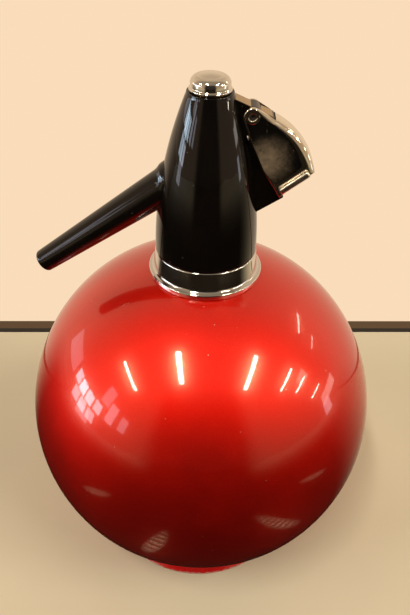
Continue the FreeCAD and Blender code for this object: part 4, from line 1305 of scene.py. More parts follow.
@dataclass
class Collar(Assembly):
    """The bright nut at the neck."""

    band_r: float = 18.3
    band_lean: float = 0.75
    rim_r: float = 20.7
    rim_t: float = 2.0
    rim_lift: float = 0.1
    rim_under: float = 0.02
    hollow_r: float = 0.9
    hollow_lift: float = 0.25
    top: float = 8.4
    hole_r: float = 12.9
    shoulder: float = 7.3
    thread_r: float = 15.15
    skirt_r: float = 17.9
    seat_gap: float = 0.35
    thread_foot: float = 1.3

    def build(self) -> None:
        """Model and dress the nut, with a rounded rim, a hollow and a rolled upper edge."""
        drop = math.sqrt(BALL_R**2 - LAND_R**2) + LAND_RISE
        rim_foot = math.sqrt(BALL_R**2 - self.rim_r**2) - drop + self.seat_gap
        skirt_foot = math.sqrt(BALL_R**2 - self.skirt_r**2) - drop + self.seat_gap
        rim_top = rim_foot + self.rim_t
        corners: list[Corner] = [
            (self.hole_r, self.shoulder, 0.0), (self.hole_r, self.top, 0.3), (self.band_r, self.top, 0.5),
            (self.band_r + self.band_lean, rim_top + self.hollow_lift, self.hollow_r),
            (self.rim_r, rim_top + self.rim_lift, 0.45), (self.rim_r, rim_foot + self.rim_under, 0.3),
            (self.skirt_r, skirt_foot, 0.0)]
        path = rounded(corners, closed=False, steps=8)
        path += [(self.skirt_r, self.thread_foot), (self.thread_r, self.thread_foot),
                 (self.thread_r, self.shoulder)]
        nut = Bench.turned("collar_nut", raised(path), around=AROUND_SEEN)
        self.take(nut, Body.COLLAR, Slot.CHROME, "collar_chrome", "collar")


@dataclass
class Head(Assembly):
    """The black tower with its fin, the spout, and what the head holds."""

    tower_r: float = 18.2
    tower_foot: float = 8.7
    tower_top: float = 65.5
    bow_r: float = 158.0
    bow_start: float = 0.4
    bow_stop: float = 0.5
    lip_in_r: float = 6.05
    lip_depth: float = 1.6
    room_r: float = 12.65
    room_top: float = 26.4
    room_mid_r: float = 9.55
    room_mid_top: float = 52.1
    port_room_r: float = 4.75
    spout_height: float = 42.85
    spout_fall: float = 35.9
    spout_reach: float = 74.4
    spout_root_r: float = 6.9
    spout_tip_r: float = 4.2
    spout_edge: float = 1.1
    spout_end: float = 3.0
    spout_flare: float = 0.75
    spout_fade: float = 2.2
    spout_start: float = 12.2
    spout_root: float = 19.0
    spout_sunk: float = 3.2
    spout_stations: tuple[float, ...] = (24.0, 32.0, 42.0, 52.0, 62.0, 69.0)
    liner_room_r: float = 2.65
    liner_in_r: float = 1.9
    liner_tip_gap: float = 2.5
    valve_height: float = 21.9
    valve_rise: float = 34.0
    barrel_out: float = 26.5
    fin_t: float = 6.2
    fin_root_x: float = 5.0
    roof_start: float = 65.0
    block_drop: float = 7.2
    block_lift: float = 5.0
    stop_face: float = 1.7
    web_x: float = 5.4
    web_drop: float = 4.0
    bump_r: float = 3.05
    bush_r: float = 1.9
    pivot_x: float = 13.5
    pivot_height: float = 58.8
    stop_x: float = 7.4
    stop_drop: float = 0.75
    boss_r: float = 3.0
    turn_gap: float = 0.3
    vent_r: float = 0.6
    vent_height: float = 36.0
    vent_out: float = 17.0
    vent_long: float = 16.0
    eye_reach: float = 8.0
    barrel_room_r: float = 2.45
    barrel_room_start: float = 14.0
    barrel_room_end: float = 40.0
    core_room_r: float = 13.2
    core_room_foot: float = 5.0
    core_room_top: float = 52.2
    strip_start: float = 3.0
    strip_stop: float = 0.9
    strip_t: float = 0.18
    strip_sink: float = 0.4
    strip_margin: float = 0.25

    def build(self) -> None:
        """Model and dress the head."""
        self.tower()
        self.fin()
        self.spout()
        self.port()
        self.keep("brass_turned", "head_core", "dip_tube_nut", "waterway_plug", "gas_way_plug",
                  "relief_screw", "pivot_bush")
        self.keep("brass_valve", "valve_barrel", "gland_sleeve")
        self.keep("seal_rubber", "neck_gasket", "dip_tube_seal", "gland_seal", "port_gasket")
        self.keep("tube_plastic_milky", "fill_tube", "dip_tube")
        self.keep("foil_bright", "relief_disc")
        self.keep("steel_spout", "spout_liner")
        self.keep("steel_valve", "valve_spring")
        self.keep("steel_turned", "piercing_pin", "check_spring")

    def stop_angle(self) -> float:
        """Slope of the roof where it meets the lever's stop, in radians."""
        reach = math.hypot(self.stop_x, self.stop_drop)
        return -(math.asin(self.boss_r / reach) + math.atan(self.stop_drop / self.stop_x))

    def along_valve(self, out: float, over: float) -> Spot:
        """A point beside the valve's axis.

        Args:
            out: Distance out along it.
            over: Distance over it.

        Returns:
            Its place from the tower's axis and the land.
        """
        rise = math.radians(self.valve_rise)
        return (out * math.cos(rise) - over * math.sin(rise),
                self.valve_height + out * math.sin(rise) + over * math.cos(rise))

    def pivot(self) -> Vector:
        """The middle of the lever's pivot."""
        return Vector((self.pivot_x, 0.0, HEAD_Z + self.pivot_height))

    def on_axis(self, height: float) -> Vector:
        """A point on the tower's axis."""
        return Vector((0.0, 0.0, HEAD_Z + height))

    def tip_r(self) -> float:
        """The tower's radius at its top."""
        return self.tower_r - self.bow_r + math.sqrt(self.bow_r**2 - (self.tower_top - self.tower_foot) ** 2)

    def tower(self) -> None:
        """The bowed tower, hollow for the core, with a small vent hole."""
        tip, sill = self.tip_r(), self.tower_top - self.lip_depth
        foot_edge, top_edge = self.tower_foot + self.bow_start, self.tower_top - self.bow_stop
        path = rounded([(self.room_r, self.tower_foot, 0.0), (self.tower_r, self.tower_foot, 0.35),
                        (self.tower_r, foot_edge, 0.0)], closed=False)
        path += bow((self.tower_r, foot_edge), (tip, top_edge), self.bow_r, 1, 64)
        path += rounded([(tip, top_edge, 0.0), (tip - 0.05, self.tower_top, 0.6),
                         (self.lip_in_r, self.tower_top, 0.3), (self.lip_in_r, sill, 0.0)], closed=False)
        path += [(self.port_room_r, sill), (self.port_room_r, self.room_mid_top),
                 (self.room_mid_r, self.room_mid_top), (self.room_mid_r, self.room_top),
                 (self.room_r, self.room_top)]
        tower = Bench.turned("tower", raised(path), around=AROUND_SEEN)
        Bench.clear()
        middle = (0.0, self.vent_out * MM, (HEAD_Z + self.vent_height) * MM)
        bpy.ops.mesh.primitive_cylinder_add(vertices=24, radius=self.vent_r * MM, depth=self.vent_long * MM,
                                            location=middle, rotation=(math.pi / 2, 0.0, 0.0))
        Bench.combine(tower, bpy.context.object, Cut.AWAY)
        self.take(tower, Body.HEAD, Slot.BLACK, "tower_black", "head_shell")

    def fin(self) -> None:
        """The rear fin: roof, pivot knuckle, stop, and the block that the valve enters."""
        slope = self.stop_angle()
        roof_end = (self.pivot_x + self.stop_x - self.turn_gap * math.cos(slope),
                    self.pivot_height - self.stop_drop - self.turn_gap * math.sin(slope))
        stop_foot = (roof_end[0] - self.stop_face * math.sin(-slope),
                     roof_end[1] - self.stop_face * math.cos(slope))
        corners: list[Corner] = [
            (self.fin_root_x, self.roof_start, 0.0),
            (*self.along_valve(self.fin_root_x, -self.block_drop), 0.0),
            (*self.along_valve(self.barrel_out, -self.block_drop), 0.7),
            (*self.along_valve(self.barrel_out, self.block_lift), 0.5),
            (self.pivot_x + self.web_x, self.pivot_height - self.web_drop, 2.5), (*stop_foot, 0.25),
            (*roof_end, 0.35)]
        half = self.fin_t / 2
        fin = Bench.slab("tower_fin", raised(rounded(corners, closed=True)), -half, half)
        upright = (90.0, 0.0, 0.0)
        tools = (
            (Cut.ON, Bench.rod("knuckle", self.bump_r, -half, half, 64), self.pivot(), upright),
            (Cut.AWAY, Bench.rod("eye", self.bush_r, -self.eye_reach, self.eye_reach), self.pivot(), upright),
            (Cut.AWAY, Bench.rod("bore", self.barrel_room_r, self.barrel_room_start, self.barrel_room_end),
             self.on_axis(self.valve_height), (0.0, 90.0 - self.valve_rise, 0.0)),
            (Cut.AWAY, Bench.rod("room", self.core_room_r, self.core_room_foot, self.core_room_top),
             self.on_axis(0.0), (0.0, 0.0, 0.0)))
        for how, tool, place, turn in tools:
            Bench.combine(fin, Bench.put(tool, place, turn), how)
        Bench.soften(fin, 0.35, 3, 55.0)
        self.take(fin, Body.HEAD, Slot.BLACK, "tower_black", "head_shell")
        root = Vector((self.fin_root_x, self.roof_start))
        along = (Vector(roof_end) - root).normalized()
        over = Vector((-along.y, along.x))
        start, stop = root + along * self.strip_start, Vector(roof_end) - along * self.strip_stop
        sink, lift = over * self.strip_sink, over * self.strip_t
        strip = raised([tuple(spot) for spot in (start - sink, stop - sink, stop + lift, start + lift)])
        cover = Bench.slab("roof_strip", strip, -half + self.strip_margin, half - self.strip_margin)
        Bench.soften(cover, 0.08, 2, 55.0)
        self.take(cover, Body.HEAD, Slot.CHROME, "strip_gilt")

    def spout(self) -> None:
        """The falling spout, flared where it leaves the tower, with a rounded mouth."""
        end = self.spout_reach
        fall = (self.spout_root_r - self.spout_tip_r) / end

        def taper(along: float) -> float:
            """The spout's radius at a distance along it."""
            return self.spout_root_r - fall * along

        start, root, sunk, steps = self.spout_start, self.spout_root, self.spout_sunk, 10
        path: list[Spot] = []
        for index in range(steps + 1):
            along = start + (root - start) * index / steps
            lift = max(0.0, 1.0 - (along - start - sunk) / (root - start - sunk))
            path.append((taper(along) + self.spout_flare * min(lift, 1.0) ** self.spout_fade, along))
        path += [(taper(along), along) for along in self.spout_stations]
        near = end - self.spout_end
        path += rounded([(taper(near), near, 0.0), (self.spout_tip_r, end, self.spout_edge),
                         (self.liner_in_r, end, 0.35), (self.liner_in_r, end - self.liner_tip_gap, 0.0)],
                        closed=False, steps=7)
        path += [(self.liner_room_r, end - self.liner_tip_gap), (self.liner_room_r, start)]
        spout = Bench.turned("falling_spout", path, around=96)
        Bench.put(spout, self.on_axis(self.spout_height), (0.0, -90.0 - self.spout_fall, 0.0))
        self.take(spout, Body.HEAD, Slot.BLACK, "spout_black", "spout")

    def port(self) -> None:
        """The charging port under the cap, with its thread and its pit."""
        rim_r, depth, pitch = 5.4, 0.22, 0.7
        foot, ledge, flange_foot, flange_top, rim_top = 54.0, 60.0, 63.9, 65.3, 68.6
        inner_r, bore_r, wide_r, flange_r, pit_r, pin_room_r, way_r = 2.2, 3.2, 4.6, 6.0, 4.55, 0.8, 0.6
        pit_foot, pin_foot, way_foot = 65.0, 62.5, 61.0
        corners: list[Corner] = [
            (inner_r, foot, 0.0), (bore_r, foot, 0.2), (bore_r, ledge, 0.0), (wide_r, ledge, 0.2),
            (wide_r, flange_foot, 0.0), (flange_r, flange_foot, 0.1), (flange_r, flange_top, 0.2),
            (rim_r - depth, flange_top, 0.0)]
        corners += thread(rim_r, depth, flange_top + 0.2, rim_top - 0.15, pitch, 0.05)
        corners += [(rim_r - depth, rim_top, 0.2), (pit_r, rim_top, 0.25), (pit_r, pit_foot, 0.0),
                    (pin_room_r, pit_foot, 0.0), (pin_room_r, pin_foot, 0.0), (way_r, pin_foot, 0.0),
                    (way_r, way_foot, 0.0), (inner_r, way_foot, 0.0)]
        port = Bench.turned("charging_port", raised(rounded(corners, closed=True, steps=2)), around=96)
        self.take(port, Body.HEAD, Slot.BRASS, "brass_turned", "charge_port")


@dataclass
class Valve(Assembly):
    """The moving stem of the dispensing valve and the poppet of the check valve."""

    def build(self) -> None:
        """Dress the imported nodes."""
        self.keep("steel_valve", "valve_stem")
        self.keep("seal_rubber", "valve_washer", "check_poppet")
        self.keep("brass_valve", "stem_nut")


@dataclass
class Lever(Assembly):
    """The bright squeeze lever, its black plates and its pin."""

    head: Head = field(default_factory=Head)
    width: float = 9.2
    cheek_t: float = 1.2
    back_r: float = 26.5
    heel_x: float = 21.9
    heel_drop: float = 18.7
    toe_x: float = 10.7
    toe_drop: float = 27.7
    toe_round: float = 1.4
    throat_x: float = 4.3
    throat_drop: float = 17.8
    neck_x: float = 0.2
    neck_drop: float = 9.0
    throat_round: float = 4.0
    neck_round: float = 3.0
    behind_way: Spot = (-0.95, -0.31)
    strap_t: float = 1.4
    sole_t: float = 1.4
    sole_start: float = 31.2
    rib_r: float = 2.0
    rib_start: float = 31.25
    rib_end: float = 39.8
    inlay_sink: float = 0.6
    inlay_t: float = 0.5
    inlay_gap: float = 0.1
    inlay_bow_r: float = 27.0
    inlay_stop: float = 0.7
    inlay_heel: float = 0.75
    inlay_toe: float = 0.35
    inlay_round: float = 0.6
    rim_top: float = 1.25
    rim_back: float = 2.6
    rim_sole: float = 4.8
    rim_throat: float = 0.5
    ring_r: float = 2.3
    ring_play: float = 0.1
    ring_sunk: float = 0.02
    ring_under: float = 0.05
    pin_r: float = 1.05
    pin_sink: float = 0.8
    dish_r: float = 0.75
    dish_foot_r: float = 0.45
    dish_t: float = 0.3
    edge: float = 0.45
    back_edge: float = 2.3
    edge_stays: float = 1.0
    edge_grows: float = 4.5
    lip_in: float = 0.3
    lip_out: float = 1.6
    lip_low: float = 0.9
    lip_high: float = 3.2
    lip_start: float = 1.6
    lip_stop: float = 1.2
    lip_soft: float = 0.8

    def __post_init__(self) -> None:
        """Work out what several steps need."""
        self.boss_r = self.head.boss_r
        self.stop: Spot = (self.head.stop_x, -self.head.stop_drop)
        self.slope = self.head.stop_angle()
        self.half = self.width / 2
        self.floor = self.half - self.inlay_sink

    def build(self) -> None:
        """Model and dress the lever."""
        self.frame_piece()
        self.plates()
        self.pin()

    def place(self, path: list[Spot]) -> list[Spot]:
        """Move an outline from the pivot to its place."""
        across, up = self.head.pivot_x, HEAD_Z + self.head.pivot_height
        return [(spot[0] + across, spot[1] + up) for spot in path]

    def over_sole(self, along: float, over: float) -> Spot:
        """A point beside the sole.

        Args:
            along: Distance from the toe along it.
            over: Distance over it.

        Returns:
            Its place from the pivot.
        """
        length = self.sole_length()
        run, rise = (self.heel_x - self.toe_x) / length, (self.toe_drop - self.heel_drop) / length
        return (self.toe_x + along * run - over * rise, -self.toe_drop + along * rise + over * run)

    def sole_length(self) -> float:
        """Length of the sole from toe to heel."""
        return math.hypot(self.heel_x - self.toe_x, self.toe_drop - self.heel_drop)

    def on_boss(self, radius: float) -> Spot:
        """Where the top edge leaves the boss, at some radius about the pivot."""
        angle = math.pi / 2 + self.slope
        return (radius * math.cos(angle), radius * math.sin(angle))

    def behind(self, radius: float) -> Spot:
        """Where the throat's edge meets the boss, at some radius about the pivot."""
        return (radius * self.behind_way[0], radius * self.behind_way[1])

    def throat(self, inward: float) -> list[Corner]:
        """The corners of the throat's edge, moved into the lever by some distance."""
        return [(self.throat_x + inward, -self.throat_drop, self.throat_round),
                (self.neck_x + inward, -self.neck_drop, self.neck_round)]

    def side(self) -> list[Spot]:
        """The lever's outline seen from the side.

        Returns:
            Its points, from the pivot.
        """
        top, behind = self.on_boss(self.boss_r), self.behind(self.boss_r)
        heel = (self.heel_x, -self.heel_drop)
        path = [top, self.stop] + bow(self.stop, heel, self.back_r, -1, 30)
        path += rounded([(*path[-1], 0.0), (*heel, 0.0), (self.toe_x, -self.toe_drop, 0.0),
                         *self.throat(0.0), (*behind, 0.0)], closed=False, steps=6)[1:]
        return path + bow(behind, top, self.boss_r, -1, 14)

    def shoulder(self, spot: Spot) -> float:
        """How far the edge is rounded at a point of the outline.

        Args:
            spot: The point.

        Returns:
            The rounding in millimetres.
        """
        front = self.neck_x + (self.toe_x - self.neck_x) * min(1.0, max(0.0, -spot[1] / self.toe_drop)) ** 2
        share = min(1.0, max(0.0, (spot[0] - front - self.edge_stays) / self.edge_grows))
        return self.edge + (self.back_edge - self.edge) * share * share * (3.0 - 2.0 * share)

    def body(self) -> Piece:
        """The lever's solid body, with its broad rounded shoulders.

        Returns:
            The body.
        """
        path = self.side()
        half, count, steps = self.half, len(path), 7
        loops: list[list[Corner]] = []
        for step in range(steps + 1):
            angle = math.pi / 2 * (1.0 - step / steps)
            loop = []
            for index, spot in enumerate(path):
                before = (Vector(spot) - Vector(path[index - 1])).normalized()
                after = (Vector(path[(index + 1) % count]) - Vector(spot)).normalized()
                inward = Vector((before.y + after.y, -before.x - after.x)) / (1.0 + before.dot(after))
                soft = self.shoulder(spot)
                place = Vector(spot) + inward * soft * (1.0 - math.cos(angle))
                loop.append((place.x + self.head.pivot_x, -half + soft * (1.0 - math.sin(angle)),
                             place.y + HEAD_Z + self.head.pivot_height))
            loops.append(loop)
        loops += [[(corner[0], -corner[1], corner[2]) for corner in loop] for loop in reversed(loops)]
        return Bench.loft("squeeze_lever", loops)

    def inlay_side(self, gap: float) -> list[Spot]:
        """The outline of a plate or its recess.

        Args:
            gap: Room between it and the recess.

        Returns:
            Its points, from the pivot.
        """
        back, top = self.rim_back + gap, self.rim_top + gap
        throat, sole = self.rim_throat + gap, self.rim_sole + gap
        start = self.on_boss(self.boss_r - top)
        stop = (self.stop[0] - top, self.stop[1] - top * self.inlay_stop)
        heel = self.over_sole(self.sole_length() - back * self.inlay_heel, sole)
        behind = self.behind(self.boss_r - throat)
        path = [start, stop] + bow(stop, heel, self.inlay_bow_r - gap, -1, 24)
        toe = self.over_sole(sole * self.inlay_toe, sole)
        path += rounded([(*path[-1], 0.0), (*heel, self.inlay_round), (*toe, self.inlay_round),
                         *self.throat(throat), (*behind, 0.0)], closed=False, steps=5)[1:]
        return path + bow(behind, start, self.boss_r - throat, -1, 12)

    def frame_piece(self) -> None:
        """The bright frame: cheeks, strap, sole, pin rings and the rib over the stem."""
        half, floor = self.half, self.floor
        lever = self.body()
        Bench.soften(lever, 0.45, 3, 60.0)
        strap_in = (self.stop[0] + self.strap_t * math.sin(self.slope),
                    self.stop[1] - self.strap_t * math.cos(self.slope))
        strap_over = (self.stop[0] - self.boss_r * math.sin(self.slope),
                      self.stop[1] + self.boss_r * math.cos(self.slope))
        sole_in = self.over_sole(self.sole_length() - self.strap_t, self.sole_t)
        mouth = self.sole_start - self.head.barrel_out + self.toe_round
        room = [strap_over, strap_in] + bow(strap_in, sole_in, self.back_r - self.strap_t, -1, 30)
        room += [sole_in, self.over_sole(mouth, self.sole_t), self.over_sole(mouth, -self.sole_t),
                 (self.toe_x, -self.toe_drop - 2 * self.sole_t),
                 (-self.boss_r, -self.toe_drop - 2 * self.sole_t),
                 (-2 * self.boss_r, 2 * self.boss_r), (0.0, 2 * self.boss_r)]
        inner = half - self.cheek_t
        Bench.combine(lever, Bench.slab("room", self.place(room), -inner, inner), Cut.AWAY)
        for low, high in ((floor, half + 1.0), (-half - 1.0, -floor)):
            Bench.combine(lever, Bench.slab("recess", self.place(self.inlay_side(0.0)), low, high), Cut.AWAY)
        pivot = self.head.pivot()
        hole = Bench.rod("hole", self.pin_r, -self.width, self.width, 40)
        Bench.combine(lever, Bench.put(hole, pivot, (90.0, 0.0, 0.0)), Cut.AWAY)
        start, seat, rim = self.pin_r + self.ring_play, floor - self.ring_sunk, half - self.ring_under
        shells = []
        for sign in (-1.0, 1.0):
            ring = Bench.turned("pin_ring", rounded([(start, seat, 0.0), (self.ring_r, seat, 0.0),
                                                     (self.ring_r, rim, 0.45), (start, rim, 0.45)],
                                                    closed=True, steps=3), around=48)
            shells.append(Bench.put(ring, pivot, (-90.0 * sign, 0.0, 0.0)))
            self.lip(sign)
        rib = Bench.turned("rib", rounded([(0.0, self.rib_start, 0.0), (self.rib_r, self.rib_start, 0.4),
                                           (self.rib_r, self.rib_end, 0.0), (0.0, self.rib_end, 0.0)],
                                          closed=False), closed=False, around=48)
        turn = (0.0, 90.0 - self.head.valve_rise, 0.0)
        shells.append(Bench.put(rib, self.head.on_axis(self.head.valve_height), turn))
        Bench.join(lever, shells)
        self.take(lever, Body.LEVER, Slot.CHROME, "lever_chrome", "lever_frame")

    def lip(self, sign: float) -> None:
        """The satin lip along one edge of the sole.

        Args:
            sign: 1 for the left edge, -1 for the right one.
        """
        stop = self.sole_length() - self.lip_stop
        near, far = sorted((sign * (self.half - self.lip_in), sign * (self.half + self.lip_out)))
        corners = ((self.lip_start, self.lip_low), (self.lip_start, self.lip_high), (stop, self.lip_high),
                   (stop, self.lip_low))
        outline = [self.over_sole(*corner) for corner in corners]
        lip = Bench.slab("sole_lip_" + ("right" if sign < 0 else "left"), self.place(outline), near, far)
        Bench.soften(lip, self.lip_soft, 4, 60.0)
        self.take(lip, Body.LEVER, Slot.CHROME, "lip_satin")

    def plates(self) -> None:
        """The black plates let into the cheeks."""
        for name, sign in (("left", 1.0), ("right", -1.0)):
            low, high = sorted((sign * self.floor, sign * (self.floor + self.inlay_t)))
            plate = Bench.slab("plate_" + name, self.place(self.inlay_side(self.inlay_gap)), low, high)
            hole = Bench.rod("hole", self.ring_r + self.inlay_gap, -self.width, self.width)
            Bench.combine(plate, Bench.put(hole, self.head.pivot(), (90.0, 0.0, 0.0)), Cut.AWAY)
            Bench.soften(plate, 0.14, 2, 55.0)
            self.take(plate, Body.LEVER, Slot.INLAY, "inlay_black", "lever_inlay_" + name)

    def pin(self) -> None:
        """The pin, dished at both ends where it is peened."""
        end = self.half - self.pin_sink
        head = [(self.pin_r, end, 0.12), (self.dish_r, end, 0.1),
                (self.dish_foot_r, end - self.dish_t, 0.1), (0.0, end - self.dish_t - 0.05, 0.0)]
        tail = [(across, -up, soft) for across, up, soft in reversed(head)]
        pin = Bench.turned("lever_pin", rounded(tail + head, closed=False, steps=3), closed=False, around=48)
        Bench.put(pin, self.head.pivot(), (90.0, 0.0, 0.0))
        self.take(pin, Body.LEVER, Slot.STEEL, "pin_darkened", "pivot_pin")


@dataclass
class Cap(Assembly):
    """The bright domed cap over the charging port."""

    side_r: float = 6.45
    lip_r: float = 6.95
    lip_h: float = 1.1
    foot: float = 65.8
    top: float = 70.9
    corner_r: float = 2.6
    crown_r: float = 13.0
    inner_r: float = 5.55
    mouth_h: float = 1.0
    roof_t: float = 1.2

    def build(self) -> None:
        """Model and dress the cap, with a rolled lip and a domed crown."""
        shoulder_r = self.side_r - self.corner_r
        shoulder = self.top - self.crown_r + math.sqrt(self.crown_r**2 - shoulder_r**2)
        side_top = self.top - self.corner_r
        corners: list[Corner] = [
            (self.inner_r, self.foot, 0.15), (self.lip_r, self.foot, 0.3),
            (self.lip_r, self.foot + self.lip_h / 2, 0.35), (self.side_r, self.foot + self.lip_h, 0.35),
            (self.side_r, side_top, 0.0)]
        mouth = (self.inner_r, self.foot + self.mouth_h)
        path = rounded([(*mouth, 0.0)] + corners, closed=False, steps=5)
        path += bow(path[-1], (shoulder_r, shoulder), self.corner_r, 1, 12)
        path += [(shoulder_r, shoulder)] + bow((shoulder_r, shoulder), (0.0, self.top), self.crown_r, 1, 10)
        roof = self.top - self.roof_t
        path += [(0.0, self.top), (0.0, roof), (self.inner_r, roof), mouth]
        start = path.index((0.0, roof))
        cap = Bench.turned("domed_cap", raised(path[start:-1] + path[:start]), closed=False, around=128)
        self.take(cap, Body.CAP, Slot.CHROME, "cap_chrome", "cap")
        self.keep("liner_rubber", "cap_liner")


# ------------------------------------------------------------------ stage, lamps and camera


WARM: Colour = (1.0, 0.90, 0.74)
COOL: Colour = (0.66, 0.84, 1.0)
PALE: Colour = (1.0, 0.96, 0.88)
LILAC: Colour = (0.86, 0.86, 1.0)
STRIP_Z = 2.5           # height of the ceiling strips, in metres
STRIP_GLOW = 62.0
REAR_GLOW = 16.0
# X, Y, width, length and glow of each ceiling strip
STRIPS = (
    (-2.95, -1.50, 0.16, 1.50, STRIP_GLOW), (-0.67, -1.33, 0.16, 1.15, STRIP_GLOW),
    (1.65, -1.35, 0.16, 1.40, STRIP_GLOW), (3.93, -1.28, 0.16, 1.35, STRIP_GLOW),
    (6.10, -1.26, 0.16, 1.45, STRIP_GLOW), (13.50, -1.20, 0.50, 2.40, STRIP_GLOW),
    (3.96, 1.96, 0.16, 1.25, REAR_GLOW), (6.15, 2.00, 0.16, 0.90, REAR_GLOW),
)
PANES_ROUND = Vector((0.0, 0.0, 0.17))      # what the windows' bearings are measured from
FAR, NEAR = 2.6, 0.9                        # how far off a window is; a low one has to clear the table
# bearing, rise, width and height in degrees, then distance, glow and colour, of each window pane
PANES = (
    (-92.0, 5.8, 5.5, 6.0, FAR, 9.0, COOL), (-85.0, 5.6, 6.4, 6.4, FAR, 15.0, COOL),
    (-77.5, 5.8, 6.4, 6.4, FAR, 12.0, COOL), (-69.5, 6.4, 6.0, 6.4, FAR, 8.0, COOL),
    (-88.0, -1.2, 6.5, 6.0, FAR, 6.0, COOL), (-80.5, -1.2, 6.5, 6.2, FAR, 8.0, COOL),
    (-72.5, -1.2, 6.5, 6.0, FAR, 6.0, LILAC), (-77.0, -6.4, 11.0, 6.5, NEAR, 2.4, LILAC),
    (-59.0, 10.0, 6.0, 12.0, FAR, 3.4, LILAC), (-66.0, 17.0, 7.0, 11.0, FAR, 2.2, LILAC),
    (-49.5, 9.0, 5.0, 9.0, FAR, 2.4, LILAC), (-107.0, 6.0, 18.0, 10.0, FAR, 1.3, LILAC),
    (93.0, 1.0, 16.0, 5.0, FAR, 2.4, PALE), (86.0, -6.2, 6.5, 6.5, NEAR, 2.5, LILAC),
    (82.0, 21.0, 9.0, 6.0, FAR, 3.0, WARM),
)


@dataclass(frozen=True)
class Lamp:
    """A rectangular lamp.

    Attributes:
        name: Its name.
        place: Its middle, in metres.
        aim: The point it faces.
        wide: Its width.
        long: Its length, kept along Y for the ceiling strips.
        glow: Radiance of its face.
        colour: Its colour.
    """

    name: str
    place: Vector
    aim: Vector
    wide: float
    long: float
    glow: float
    colour: Colour

    def hang(self) -> None:
        """Make the lamp."""
        data = bpy.data.lights.new(self.name, "AREA")
        data.shape = "RECTANGLE"
        data.size = self.wide
        data.size_y = self.long
        data.energy = self.glow * self.wide * self.long * math.pi
        data.color = self.colour
        lamp = bpy.data.objects.new(self.name, data)
        bpy.context.scene.collection.objects.link(lamp)
        away = (self.place - self.aim).normalized()
        side = Vector((0.0, 1.0, 0.0)).cross(away).normalized()
        turned = Matrix((side, away.cross(side), away)).transposed().to_4x4()
        turned.translation = self.place
        lamp.matrix_world = turned
        lamp.visible_camera = False


